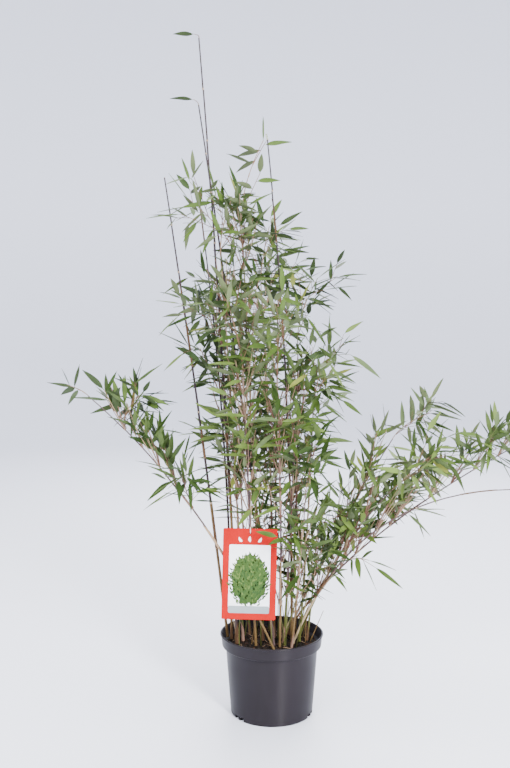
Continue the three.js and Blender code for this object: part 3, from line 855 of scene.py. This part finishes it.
def relief(tree, shader, height, distance, strength):
    bump = tree.nodes.new("ShaderNodeBump")
    bump.inputs["Distance"].default_value = distance
    bump.inputs["Strength"].default_value = strength
    tree.links.new(height.outputs["Fac"], bump.inputs["Height"])
    tree.links.new(bump.outputs["Normal"], shader.inputs["Normal"])


def tinted(colour, factor, warm=0.0):
    r, g, b = colour
    return (min(1, r * factor * (1 + warm)), min(1, g * factor), min(1, b * factor * (1 - warm)))


def leaf_material(name, colour, roughness):
    stops = [(0.3, tinted(colour, 0.78)), (0.7, tinted(colour, 1.22, 0.05))]
    made, tree, shader, _ = mottled(name, colour, roughness, 0.16, stops, 26, 3)
    veins = texture(tree, "Wave", (1, 0.25, 1), True, Scale=3.2, Distortion=0.3)
    relief(tree, shader, veins, 0.0002, 0.35)
    return made


def cane_material(name, colour, dark, roughness, streak):
    stops = [(0.32, dark), (0.62, colour), (0.85, tinted(colour, 1.25))]
    made, tree, shader, _ = mottled(
        name, colour, roughness, 0.2, stops, 5, 5, (6, 0.35, 1), True)
    fibres = texture(tree, "Noise", (12 * streak, 0.5, 1), True, Scale=9, Detail=4)
    relief(tree, shader, fibres, 0.0004, 0.5)
    return made


def earth_material(name, colour, dark, roughness, scale):
    stops = [(0.35, dark), (0.68, colour)]
    made, tree, shader, cloud = mottled(name, colour, roughness, 0.2, stops, scale, 8)
    relief(tree, shader, cloud, 0.002, 0.9)
    return made


def print_material(name, colour, roughness):
    stops = [(0.3, tinted(colour, 0.95)), (0.7, tinted(colour, 1.03))]
    made, tree, shader, cloud = mottled(name, colour, roughness, 0.15, stops, 60, 2)
    relief(tree, shader, cloud, 0.0002, 0.12)
    return made


def tie_material():
    stops = [(0.3, (0.70, 0.67, 0.60)), (0.7, (0.84, 0.82, 0.76))]
    return mottled("tie_plastic", (0.80, 0.77, 0.70), 0.35, 0.5, stops, 90, 3)[0]


def make_materials():
    made = {"tie_plastic": tie_material()}
    for colours, roughness in ((LEAF_COLOURS, 0.5), (UNDER_COLOURS, 0.7)):
        for name, colour in colours.items():
            made[name] = leaf_material(name, colour, roughness)
    for rows, make in ((CANE_COLOURS, cane_material), (SOIL_COLOURS, earth_material),
                       (PRINT_COLOURS, print_material)):
        for name, row in rows.items():
            made[name] = make(name, *row)
    return made


def pot_material():
    """Dark drawn plastic, whose sheen runs up and down the pot."""
    stops = [(0.3, (0.011, 0.009, 0.011)), (0.7, (0.017, 0.014, 0.017))]
    made, tree, shader, cloud = mottled(
        "pot_plastic", (0.015, 0.014, 0.019), 0.34, 0.12, stops, 14, 6, (1, 1, 0.25))
    rough = tree.nodes.new("ShaderNodeMapRange")
    rough.inputs["To Min"].default_value = 0.36
    rough.inputs["To Max"].default_value = 0.44
    tree.links.new(cloud.outputs["Fac"], rough.inputs["Value"])
    tree.links.new(rough.outputs["Result"], shader.inputs["Roughness"])
    relief(tree, shader, texture(tree, "Noise", Scale=900, Detail=2), 0.00012, 0.25)
    shader.inputs["Anisotropic"].default_value = 0.9
    shader.inputs["Anisotropic Rotation"].default_value = 0.25
    round_it = tree.nodes.new("ShaderNodeTangent")
    round_it.direction_type = "RADIAL"
    round_it.axis = "Z"
    tree.links.new(round_it.outputs["Tangent"], shader.inputs["Tangent"])
    return made


# Pieces


def round_points(radius, sides):
    turns = [2 * math.pi * side / sides for side in range(sides)]
    return [(radius * math.cos(turn), radius * math.sin(turn)) for turn in turns]


def lathe(profile, sides):
    """A closed surface of revolution: profile points run from the axis below to the axis above."""
    made = bmesh.new()
    rings = []
    for radius, height in profile:
        around = round_points(radius * MM, sides) if radius else [(0, 0)]
        rings.append([made.verts.new((x, y, height * MM)) for x, y in around])
    for low, high in zip(rings, rings[1:]):
        for corner in range(sides):
            after = (corner + 1) % sides
            if len(low) == 1:
                made.faces.new((low[0], high[after], high[corner]))
            elif len(high) == 1:
                made.faces.new((low[corner], low[after], high[0]))
            else:
                made.faces.new((low[corner], low[after], high[after], high[corner]))
    bmesh.ops.recalc_face_normals(made, faces=made.faces)
    return made


def object_of(made, name):
    mesh = bpy.data.meshes.new(name)
    made.to_mesh(mesh)
    made.free()
    return linked(name, mesh)


def smooth_by_angle(obj, degrees):
    mesh = obj.data
    made = bmesh.new()
    made.from_mesh(mesh)
    for edge in made.edges:
        sharp = len(edge.link_faces) != 2 or edge.calc_face_angle(0) > math.radians(degrees)
        edge.smooth = not sharp
    for face in made.faces:
        face.smooth = True
    made.to_mesh(mesh)
    made.free()


def arc(centre, radius, start, end, steps):
    turns = [math.radians(start + (end - start) * step / steps) for step in range(steps + 1)]
    return [(centre[0] + radius * math.cos(turn), centre[1] + radius * math.sin(turn))
            for turn in turns]


def pot_profile():
    """From the middle of the underside up the outside, over the lip and down to the floor inside."""
    band = POT_HEIGHT - RIM_BAND
    return [
        (0, 1.2), (FOOT_RADIUS - 16, 1.2), (FOOT_RADIUS - 14, 0), (FOOT_RADIUS - 3, 0),
        *arc((FOOT_RADIUS - POT_BEND, POT_BEND), POT_BEND, -90, 0, 4),
        (FOOT_RADIUS + 0.3, 8), (SHOULDER_RADIUS - 2, band - 34), (SHOULDER_RADIUS, band - 6),
        (SHOULDER_RADIUS + 1.2, band - 3), (RIM_RADIUS - 7, band - 1.2),
        *arc((RIM_RADIUS - 6.4, band + 1.2), POT_BEND, -90, 0, 4),
        (RIM_RADIUS - 3.6, band + 4), (RIM_RADIUS - 1.9, POT_HEIGHT - 5),
        (RIM_RADIUS - 1.6, POT_HEIGHT - 3.6),
        *arc((RIM_RADIUS - LIP, POT_HEIGHT - LIP), LIP, -40, 180, 10),
        (RIM_RADIUS - 2 * LIP - 0.2, POT_HEIGHT - 4), (RIM_RADIUS - WALL - 3.5, band + 4),
        (SHOULDER_RADIUS - WALL, band - 4), (FOOT_RADIUS - WALL, POT_FLOOR), (0, POT_FLOOR),
    ]


def drain_cutter():
    """Blocks in pairs round the pot's foot, where its drain notches are."""
    cutters = bmesh.new()
    size = Matrix.Diagonal((FOOT_RADIUS / 4 * MM, DRAIN_WIDTH * MM, DRAIN_HEIGHT * 2 * MM, 1))
    for group in range(DRAIN_GROUPS):
        turn = Matrix.Rotation(math.radians(DRAIN_FIRST + 360 / DRAIN_GROUPS * group), 4, "Z")
        for half in (-0.5, 0.5):
            where = Matrix.Translation((FOOT_RADIUS * MM, half * DRAIN_APART * MM, 0))
            bmesh.ops.create_cube(cutters, size=1, matrix=turn @ where @ size)
    return object_of(cutters, "drain_cutter")


def make_pot():
    pot = object_of(lathe(pot_profile(), POT_SIDES), "pot_shell")
    cutter = drain_cutter()
    cut = pot.modifiers.new("cut", "BOOLEAN")
    cut.operation = "DIFFERENCE"
    cut.solver = "EXACT"
    cut.object = cutter
    bpy.context.view_layer.update()
    graph = bpy.context.evaluated_depsgraph_get()
    done = bpy.data.meshes.new_from_object(pot.evaluated_get(graph))
    pot.modifiers.clear()
    pot.data = done
    bpy.data.objects.remove(cutter)
    smooth_by_angle(pot, POT_SMOOTH)
    pot.data.materials.clear()
    pot.data.materials.append(pot_material())
    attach(pot, "root")
    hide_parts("pot")


def soil_height(x, y):
    rough = noise.fractal(Vector((x, y, 3.1)) * SOIL_GRAIN, 1.0, 2.0, 5)
    return SOIL_TOP - SOIL_SINK + SOIL_RISES * rough


def soil_body(pile):
    """Compost with a rough top: rings of points, the last of them down its edge."""
    sides = SOIL_SIDES
    points = [Vector((0, 0, soil_height(0, 0)))]
    for ring in range(1, SOIL_RINGS + 1):
        for x, y in round_points(SOIL_REACH * ring / SOIL_RINGS, sides):
            points.append(Vector((x, y, soil_height(x, y))))
    points += [Vector((x, y, SOIL_BASE)) for x, y in round_points(SOIL_REACH, sides)]
    faces = [[0, 1 + side, 1 + (side + 1) % sides] for side in range(sides)]
    for low in range(1, 1 + SOIL_RINGS * sides, sides):
        for side in range(sides):
            after = (side + 1) % sides
            faces.append([low + side, low + sides + side, low + sides + after, low + after])
    faces.append(list(range(len(points) - sides, len(points)))[::-1])
    pile.add(points, faces, "soil_peat")


def crumb(pile, draw):
    """A small lump of compost or bark with eight sides."""
    radius = SOIL_REACH * math.sqrt(draw.random()) * CRUMB_REACH
    centre = heading(360 * draw.random(), 0) * radius
    size = 0.9 + 2.6 * draw.random() ** 2.2
    kind = draw.random()
    slot = "soil_dark" if kind < 0.5 else "soil_peat" if kind < 0.88 else "soil_bark"
    centre.z = soil_height(centre.x, centre.y) + size * 0.25
    corners = []
    for axis in (0, 0, 1, 1, 2, 2):
        stretch = size * (0.6 + 0.7 * draw.random())
        jog = Vector([draw.random() - 0.5 for _ in range(3)]) * size * 0.6
        corner = centre + jog
        corner[axis] += -stretch if len(corners) % 2 else stretch
        corners.append(corner)
    pile.add(corners, CRUMB_FACES, slot)


def on_soil(points, gap, rise):
    """Lays a line on the compost, its middle raised."""
    for index, point in enumerate(points):
        high = math.sin(math.pi * index / (len(points) - 1))
        point.z = soil_height(point.x, point.y) + gap + rise * high
    return points


def loose_fibre(pile, draw):
    turn = 360 * draw.random()
    start = heading(turn, 0) * (SOIL_REACH * math.sqrt(draw.random()) * FIBRE_REACH)
    way = 360 * draw.random()
    least, more = FIBRE_LENGTH
    length = least + more * draw.random()
    end = start + heading(way, 0) * length
    if end.length > SOIL_REACH * FIBRE_STOP:
        return
    bend = start.lerp(end, 0.5) + heading(way + 90, 0) * (draw.random() - 0.5) * length
    points = on_soil(curved((start, bend, end), 6), 0.6, 1.6)
    thick = 0.35 + 0.5 * draw.random()
    slot = "soil_root" if draw.random() < 0.4 else "soil_bark"
    tube(pile, points, [thick] * 6 + [thick * 0.4], 5, slot)


def make_soil(materials):
    """The compost, its crumbs and fibres, with two thick pale fibres near the pot's right side."""
    pile = Pile()
    soil_body(pile)
    draw = random.Random(SOIL_SEED)
    for _ in range(CRUMBS):
        crumb(pile, draw)
    for _ in range(FIBRES):
        loose_fibre(pile, draw)
    for *line, thick in PALE_FIBRES:
        points = on_soil(curved([Vector(point) for point in line], 10), 0.8, 3.6)
        tube(pile, points, [thick] * 10 + [thick * 0.5], 8, "soil_root")
    pile.piece("compost", materials, "soil", "soil", smooth=False)


def cane_slot(cane, share, draw):
    """An internode's colour: green or ochre at the foot, mauve, brown, tan or purple above."""
    if cane["name"] in DARK_CANES:
        if share > DARK_FROM:
            return "cane_purple"
        return "cane_ochre" if draw.random() < 0.6 else "cane_brown"
    if cane["name"] in RISING_CANES and share > BROWN_FROM:
        return "cane_brown"
    if share < FOOT_SHARE:
        return draw.choices(("cane_green", "cane_ochre", "cane_straw"), (50, 42, 8))[0]
    if draw.random() < 0.6:
        return "cane_mauve" if draw.random() < 0.6 else "cane_brown"
    if draw.random() < 0.6:
        return "cane_tan"
    return "cane_straw" if draw.random() < 0.7 else "cane_green"


def internode(index, gap, slot):
    """How far up an internode, how wide beside the cane there, and in which colour from there."""
    foot = [(0, 1.1, slot), (2, 1.04, slot), (6, 0.92, slot)]
    joint = [(0, 1.22, "cane_ring"), (1, 1.08, "cane_ring"), (2.2, 1.2, slot), (4.4, 1.02, slot)]
    return (joint if index else foot) + [
        (gap * 0.35, 0.97, slot), (gap * 0.65, 0.96, slot), (gap - 3.5, 1, slot),
        (gap - 1.2, 1.06, "cane_ring")]


def cane_bark(pile, cane, row, draw):
    """A cane as one tube, whose internodes stand a little to one side and the other."""
    curve = cane_curve(cane)
    count = nodes_of(cane)
    gap = curve_length(curve) / count
    stout = STOUT if cane["name"] in STOUT_CANES else 1
    points = []
    radii = []
    slots = []
    for index in range(count):
        turn = GOLDEN_ANGLE * (index % 2) + 20 * row
        jog = off_curve(curve, index / count, turn) * (CANE_JOG if index else 0)
        for run, swell, slot in internode(index, gap, cane_slot(cane, index / count, draw)):
            share = (index + run / gap) / count
            points.append(curve_point(curve, share) + jog)
            radii.append(cane_radius(cane, share) * swell * stout)
            slots.append(slot)
    points.append(curve_point(curve, 1))
    radii.append(cane_radius(cane, 1) * (0.55 if cane["name"] in BARE_CANES else 0.9))
    tube(pile, points, radii, CANE_SIDES, slots)


def cane_sheaths(pile, cane, draw):
    count = nodes_of(cane)
    for index in range(count):
        if draw.random() > (BARE_SHEATHS if cane["name"] in BARE_CANES else SHEATHS):
            continue
        span = (0.45 + 0.5 * draw.random() if index else 0.35) / count
        facing = draw.random() * 360
        slot = "sheath" if draw.random() < 0.62 else "sheath_pink"
        if cane["name"] in STOUT_CANES or (index == 0 and slot == "sheath"):
            slot = "sheath_dark"
        sheath(pile, cane, index / count, span, facing, slot, draw)


def sheath(pile, cane, low, span, facing, slot, draw):
    """A papery sheath wrapped round an internode, split down one side and drawn out to a point."""
    curve = cane_curve(cane)
    points = []
    uvs = []
    loose = 0.12 + 0.35 * draw.random()
    for row in range(SHEATH_ROWS + 1):
        up = row / SHEATH_ROWS
        share = min(1, low + span * up)
        wrap = 180 * (1.94 - 1.25 * up ** 3)
        radius = cane_radius(cane, share) * (1.16 + 0.1 * (1 - up)) + 0.12 + loose * up * up
        for column in range(SHEATH_COLUMNS + 1):
            part = column / SHEATH_COLUMNS
            out = off_curve(curve, share, facing + wrap * (part - 0.5))
            points.append(curve_point(curve, share) + out * radius)
            uvs.append((part, up * 3))
    share = min(1, low + span + SHEATH_POINT / curve_length(curve))
    radius = cane_radius(cane, share) + 1.2 + 3 * loose
    points.append(curve_point(curve, share) + off_curve(curve, share, facing) * radius)
    uvs.append((0.5, 4))
    wide = SHEATH_COLUMNS + 1
    top = SHEATH_ROWS * wide
    faces = []
    for row in range(0, top, wide):
        for at in range(row, row + SHEATH_COLUMNS):
            faces.append([at, at + 1, at + wide + 1, at + wide])
    faces += [[at, at + 1, len(points) - 1] for at in range(top, top + SHEATH_COLUMNS)]
    pile.add(points, faces, slot, uvs)


def make_canes(materials):
    bark = Pile()
    papers = Pile()
    for row, cane in enumerate(CANES):
        draw = random.Random(CANE_SEED + row)
        cane_bark(bark, cane, row, draw)
        cane_sheaths(papers, cane, draw)
    replaced = [name for name in nodes if name.startswith("cane_")]
    bark.piece("cane_bark", materials, "cane", *replaced)
    papers.piece("cane_sheaths", materials, "cane")


def make_foliage(placed, materials):
    """The source's stems, twigs and leaves first, then finer growth beside them."""
    leaves = Pile()
    wood = Pile()
    for each in placed:
        draw = random.Random(each["seed"])
        spray = each["spray"]
        tones = spray_tones(each["cane"], draw)
        stem_and_twigs(wood, each, draw)
        size = spray.get("leaf", 1)
        for leaf in each["leaves"]:
            dress(leaves, leaf, size, tones, draw)
        if spray.get("twigs", TWIGS) >= TWIGS:
            for axis in each["axes"]:
                fine_growth(leaves, wood, axis, each["name"], size, tones, draw)
    fine = Pile()
    node_growth(fine, wood)
    foot_shoots(fine, wood)
    fine.piece("foliage_leaves_fine", materials, "leaf")
    replaced = [name for name in nodes if name.startswith("leaves_")]
    leaves.piece("foliage_leaves", materials, "leaf", *replaced)
    wood.piece("foliage_twigs", materials, "leaf")


def stem_and_twigs(wood, each, draw):
    """A spray's stem from its cane, the sheaths on it and its twigs."""
    cane = each["cane"]
    spray = each["spray"]
    many = spray.get("twigs", TWIGS)
    at_tip = spray["at"] == 1
    first, last = STEM_THICK
    if at_tip:
        first = cane_radius(cane, 1) * 0.9
    if many == 0:
        first, last = cane_radius(cane, 1) * 0.8, 0.5
    stem = curved(each["curve"], 9)
    foot = curve_point(cane_curve(cane), spray["at"])
    stem.insert(0, foot if at_tip else foot.lerp(stem[0], 0.35))
    radii = taper((first, last), len(stem) - 1)
    slot = "twig_tan"
    if draw.random() >= 0.6:
        slot = "twig_green" if draw.random() < 0.4 else "twig_red"
    tube(wood, stem, radii, TWIG_SIDES, slot)
    for share in COLLARS_AT if many else ():
        collar(wood, stem, share, radii, draw)
    for axis in each["axes"][1:]:
        start, end = axis["start"], axis["end"]
        bow = start.lerp(end, 0.5) + UP * (end - start).length * 0.03
        slot = "twig_red" if draw.random() < 0.5 else "twig_tan"
        tapered(wood, (start, bow, end), TWIG_THICK, 5, TWIG_SIDES, slot)


def spray_tones(cane, draw):
    """Upper and under colours of a spray's leaves, most of them from one pair."""
    # The nearly bare dark canes take the painted shade on both sides of their leaves, and the shaded
    # canes mostly do
    if cane["name"] in DARK_CANES:
        return "leaf_deep", "under_deep"
    takes_painted_shade = cane["name"] in SHADE_PAINTED_CANES
    arching = cane["name"] in ARCHING_CANES
    weights = ARCHING_TONES if arching else SHADE_PAINTED_TONES if takes_painted_shade else COLUMN_TONES
    main = draw.choices(tuple(LEAF_COLOURS), weights)[0]
    if draw.random() < GREY_UNDER:
        return main, "under_deep" if takes_painted_shade else "under_grey"
    return main, "under_green"


def dress(pile, leaf, size, tones, draw):
    """Gives a leaf its colours, width, wave, roll and droop."""
    main, under = tones
    # Some leaves take another colour, the painted shade and the painted light among them
    if draw.random() < OTHER_COLOUR:
        main = draw.choices(("leaf_mid", "leaf_deep", "leaf_light", "leaf_yellow"), (4, 4, 4, 1))[0]
    leaf["blade"] = BLADE_WIDTH * math.sqrt(size) * (0.85 + 0.3 * draw.random())
    leaf["wave"] = 6 * draw.random()
    leaf["roll"] += math.radians(BLADE_ROLL) * (draw.random() - 0.5)
    blade(pile, leaf, main, under, LEAF_DROOP * (0.6 + 0.9 * draw.random()))


def collar(pile, stem, share, radii, draw):
    """A short pale sheath round a stem where a twig leaves it."""
    place = share * (len(stem) - 1)
    index = int(place)
    start = stem[index].lerp(stem[index + 1], place % 1)
    along = (stem[index + 1] - stem[index]).normalized()
    points = [start, start + along * 4, start + along * 9]
    slot = "sheath_pink" if draw.random() < 0.55 else "sheath"
    tube(pile, points, [radii[index] * swell for swell in (1.3, 1.4, 1.1)], TWIG_SIDES, slot)


def leaf_way(along, turn, lean, draw):
    """Which way a leaf points: turned round its twig and leaned off it, both varied."""
    turn += LEAF_TURN_VARIES * draw.random()
    return leaned(along, turn, lean + LEAF_LEAN_VARIES * draw.random())


def fine_growth(leaves, wood, axis, name, size, tones, draw):
    """Finer twigs on a twig, each with a few leaves, kept off the canes and the label."""
    length = (axis["end"] - axis["start"]).length
    turn = draw.random() * 360
    thick, thin = FINE_THICK
    for index, share in enumerate(FINE_AT):
        start = axis["start"].lerp(axis["end"], share)
        along = leaned(axis["along"], turn + GOLDEN_ANGLE * index, FINE_LEAN)
        along.z -= LEAF_FALL
        along.normalize()
        reach = 8 + length * FINE_SHARE * (0.6 + 0.5 * draw.random())
        end = start + along * reach
        if not limbs.clear(start, end, thick, name):
            continue
        points = curved((start, start.lerp(end, 0.5) + UP * reach * 0.05, end), 3)
        slot = "twig_red" if draw.random() < 0.6 else "twig_green"
        tube(wood, points, [thick, thick, thin, thin], FINE_SIDES, slot)
        spin = draw.random() * 360
        for side, (at, lean) in enumerate(FINE_LEAVES):
            way = leaf_way(along, spin + LEAF_TURN * side, lean, draw)
            way.z -= LEAF_FALL + LEAF_FALL_VARIES * draw.random()
            leaf = new_leaf(start.lerp(end, at), way, size * FINE_LEAF,
                            LEAF_WIDTH * math.sqrt(size) * FINE_NARROW, FINE_ROLL, draw.random)
            if leaf_clear(leaf, name):
                dress(leaves, leaf, size * FINE_LEAF, tones, draw)


def leaf_clear(leaf, *owners):
    """Whether a leaf keeps off the limbs and the compost, within the reach of the source's plant."""
    tip = leaf["root"] + leaf["along"] * leaf["length"]
    low, high = reach_box
    if not all(low[axis] - REACH_MORE < tip[axis] < high[axis] + REACH_MORE for axis in range(3)):
        return False
    if tip.z < LEAF_LOWEST:
        return False
    return all(limbs.clear(start, end, radius / 2, *owners)
               for start, end, radius in leaf_room(leaf)[1:])


def bundle_twig(leaves, wood, cane, base, away, out, length, tones, draw):
    """One thin twig of a bundle, and the leaves towards its end."""
    name = cane["name"]
    arching = name in ARCHING_CANES
    end = base + out * length
    if not limbs.clear(away, end, BUNDLE_THICK[1], name):
        return
    bend = base.lerp(end, 0.5) + (away - base).normalized() * length * 0.06
    kind = draw.random()
    slot = "twig_red" if kind < 0.25 else "sheath_pink" if kind < 0.6 else "sheath"
    points = tapered(wood, (base, bend, end), BUNDLE_THICK, 5, FINE_SIDES, slot)
    if draw.random() < (ARCHING_BARE_TWIGS if arching else BARE_TWIGS):
        return
    along = (points[-1] - points[-2]).normalized()
    spin = draw.random() * 360
    for index, (at, lean) in enumerate(NODE_LEAVES):
        way = leaf_way(along, spin + LEAF_TURN * index, lean, draw)
        if name in RISING_CANES:
            way.z += ARCHING_RISE
        else:
            way.z -= LEAF_FALL + LEAF_FALL_VARIES * draw.random()
        size = (ARCHING_LEAF if arching else 1) * (0.8 + 0.35 * draw.random())
        spot = min(4, int(at * 5))
        root = points[spot].lerp(points[spot + 1], at * 5 - spot)
        leaf = new_leaf(root, way, size, LEAF_WIDTH * FINE_NARROW, FINE_ROLL, draw.random)
        if leaf_clear(leaf, name):
            dress(leaves, leaf, size, tones, draw)


def twigs_at(cane, height, most):
    """How many twigs a bundle has: more of them high up and on the canes that arch out."""
    if height > MOST_ABOVE or cane["name"] in ARCHING_CANES:
        return most + MOST_TWIGS
    return most + (MORE_TWIGS if height > MORE_ABOVE else 0)


def node_growth(leaves, wood):
    """Bundles of thin twigs at the nodes and half way between them, where a cane is leafy."""
    least, more = NODE_TWIG_LENGTH
    for row, cane in enumerate(CANES):
        draw = random.Random(NODE_SEED + row)
        curve = cane_curve(cane)
        steps = 2 * nodes_of(cane)
        first, last, most = cane.get("leafy", (1, 0, 0))
        for step in range(1, steps):
            share = step / steps
            skips = HALF_WAY_SKIPS if step % 2 else NODE_SKIPS
            if not first <= share <= last or draw.random() < skips:
                continue
            along = curve_along(curve, share)
            spot = curve_point(curve, share)
            tones = spray_tones(cane, draw)
            facing = draw.random() * 360
            for index in range(twigs_at(cane, spot.z, most)):
                side = off_curve(curve, share, facing + GOLDEN_ANGLE * index)
                if along.z < 0.85 and side.z < -0.1:
                    side = -side
                lift = math.radians(NODE_LIFT * (0.7 + 0.8 * draw.random()))
                out = along * math.cos(lift) + side * math.sin(lift)
                if cane["name"] in RISING_CANES:
                    out += UP * ARCHING_RISE
                out.normalize()
                base = spot + side * cane_radius(cane, share) * 0.8
                away = base + side * 3.5 + along * 2
                length = least + more * draw.random()
                bundle_twig(leaves, wood, cane, base, away, out, length, tones, draw)


def foot_shoots(leaves, wood):
    """Thin young shoots from the compost close to the canes, the longer ones with leaves."""
    least, more = SHOOT_LENGTH
    near, wider = SHOOT_OFF
    for row, cane in enumerate(CANES):
        draw = random.Random(SHOOT_SEED + row)
        curve = cane_curve(cane)
        upright = (curve_along(curve, 0.1) + UP).normalized()
        tones = spray_tones(cane, draw)
        for _ in range(SHOOTS):
            start = curve[0] + heading(360 * draw.random(), 0) * (near + wider * draw.random())
            start.z = SOIL_TOP - 4
            length = least + more * draw.random() ** 1.5
            out = leaned(upright, 360 * draw.random(), SHOOT_LEAN * draw.random() ** 1.5)
            end = start + out * length
            slot = draw.choices(tuple(SHOOT_COLOURS), tuple(SHOOT_COLOURS.values()))[0]
            lean = 360 * draw.random()
            if start.xy.length > SHOULDER_RADIUS - 10 or not limbs.clear(start, end, SHOOT_THICK[0]):
                continue
            bend = start.lerp(end, 0.5) + heading(lean, 0) * length * 0.03
            points = tapered(wood, (start, bend, end), SHOOT_THICK, 6, TWIG_SIDES, slot)
            for index in range(SHOOT_LEAVES if length > SHOOT_LEAFY else 0):
                way = leaned(out, lean + LEAF_TURN * index, 24 + 20 * index)
                leaf = new_leaf(points[-1 - index], way, 1, LEAF_WIDTH * FINE_NARROW, LEAF_ROLL,
                                draw.random, shortest=0.6, varies=0.3)
                if leaf_clear(leaf):
                    dress(leaves, leaf, 0.8, tones, draw)


def rounded(left, low, right, high):
    """The outline of a panel with rounded corners."""
    left, low, right, high = (
        left + PANEL_ROUND, low + PANEL_ROUND, right - PANEL_ROUND, high - PANEL_ROUND)
    outline = []
    for x, z, start in ((right, low, -90), (right, high, 0), (left, high, 90), (left, low, 180)):
        outline += arc((x, z), PANEL_ROUND, start, start + 90, 4)
    return outline


def leaf_shape(x, z, length, width, lean):
    """The outline of a leaf that stands on a point, leans and bows to the side that it leans to."""
    shares = [step / 8 for step in range(9)]
    bow = 0.12 * length * (1 if lean > 0 else -1)
    cos, sin = math.cos(math.radians(lean)), math.sin(math.radians(lean))
    outline = []
    for sign, half_way in ((1, shares), (-1, shares[-2:0:-1])):
        for share in half_way:
            half = width / 2 * math.sin(math.pi * share ** 0.75) ** 0.9
            side = sign * half + bow * math.sin(math.pi * share)
            up = length * share
            outline.append((x + side * cos + up * sin, z - side * sin + up * cos))
    return outline


def make_label(hole, materials):
    """What is on the card: a pale panel, a grey band, a bush of leaves and three small leaves."""
    pile = Pile()
    front = LABEL_FRONT - LABEL_THICK / 2
    spin = Matrix.Rotation(math.radians(LABEL_ROLL), 3, "Y")

    def panel(outline, slot, proud):
        count = len(outline)
        points = []
        for out in (proud, -0.02):
            for x, z in outline:
                point = spin @ Vector((x, 0, z))
                points.append(Vector((hole.x + point.x, front - out, hole.z + point.z)))
        faces = [list(range(count))]
        for index in range(count):
            after = (index + 1) % count
            faces.append([index, count + index, count + after, after])
        pile.add(points, faces, slot)

    half = LABEL_WIDTH / 2 - PANEL_EDGE
    low = HOLE_DROP - LABEL_HEIGHT + PANEL_EDGE
    panel(rounded(-half, low, half, HOLE_DROP - PANEL_DROP), "print_pale", 0.06)
    panel(rounded(-half, low, half, low + BAND_HIGH), "print_grey", 0.10)
    middle = low + BAND_HIGH + BUSH_HIGH
    bush = []
    for turn in range(0, 360, 6):
        lobe = 0.93 + 0.05 * math.sin(math.radians(turn * 9))
        out = heading(turn, 0) * lobe
        bush.append((BUSH_WIDE * out.x, middle + BUSH_HIGH * out.y))
    panel(bush, "print_leaf", 0.13)
    draw = random.Random(PRINT_SEED)
    for row in range(BUSH_ROWS):
        for column in range(BUSH_COLUMNS):
            wide = 2 * (column + draw.random()) / BUSH_COLUMNS - 1
            high = 2 * (row + draw.random()) / BUSH_ROWS - 1
            lean = 40 * wide + 70 * (draw.random() - 0.5)
            slot = draw.choices(("print_leaf_dark", "print_leaf", "print_leaf_light"),
                                (3 - 1.5 * high, 3, 2 + 1.5 * high))[0]
            length = 7 + 4 * draw.random()
            if wide ** 2 + high ** 2 < 1:
                x, z = BUSH_WIDE * wide, middle + BUSH_HIGH * high - length / 2
                panel(leaf_shape(x, z, length, 3, lean), slot, 0.15 + 0.008 * row)
    for step in (-1, 0, 1):
        panel(leaf_shape(16 * step, HOLE_DROP - 27, 12, 5.5, 34 * step), "print_pale", 0.08)
    pile.piece("label_print", materials, "label", smooth=False)


def dress_nodes(materials):
    """The card and its tie keep their solids and take their materials."""
    for name, slot in (("label", "print_red"), ("label_tie", "tie_plastic")):
        nodes[name].data.materials.clear()
        nodes[name].data.materials.append(materials[slot])


# Stage


def make_camera():
    data = bpy.data.cameras.new("camera")
    data.sensor_width = SENSOR
    data.lens = SENSOR * FOCAL_PIXELS / IMAGE_HEIGHT
    camera = linked("camera", data)
    camera.location = CAMERA_PLACE
    camera.rotation_euler = (math.radians(90 - CAMERA_DOWN), 0, 0)
    bpy.context.scene.camera = camera


def make_lights():
    for name, where, wide, high, power in LIGHTS:
        data = bpy.data.lights.new(name, "AREA")
        data.shape = "RECTANGLE"
        data.size = wide
        data.size_y = high
        data.energy = power
        light = linked(name, data)
        light.location = where
        light.rotation_euler = (LIGHTS_AIM - Vector(where)).to_track_quat("-Z", "Y").to_euler()
    world = bpy.data.worlds.new("world")
    world.use_nodes = True
    sky = world.node_tree.nodes["Background"]
    sky.inputs["Color"].default_value = SKY
    sky.inputs["Strength"].default_value = SKY_STRENGTH
    bpy.context.scene.world = world


def make_floor():
    """A plain pale floor that curves up far behind on every side."""
    curve = arc((FLOOR_FLAT, FLOOR_CURVE), FLOOR_CURVE, -90, 0, 10)
    profile = [(0.001, 0), (2600, 0), *curve, (FLOOR_FLAT + FLOOR_CURVE, FLOOR_TOP)]
    floor = object_of(lathe(profile, 96), "floor")
    for face in floor.data.polygons:
        face.use_smooth = True
    floor.data.materials.append(material("floor_pale", FLOOR_COLOUR, 0.5)[0])


make_camera()
make_lights()
make_floor()
placed, label_hole = grow_plant()
tips = [leaf["root"] + leaf["along"] * leaf["length"] for each in placed for leaf in each["leaves"]]
reach_box = [[pick(tip[axis] for tip in tips) for axis in range(3)] for pick in (min, max)]
materials = make_materials()
make_pot()
make_soil(materials)
make_canes(materials)
make_foliage(placed, materials)
make_label(label_hole, materials)
dress_nodes(materials)
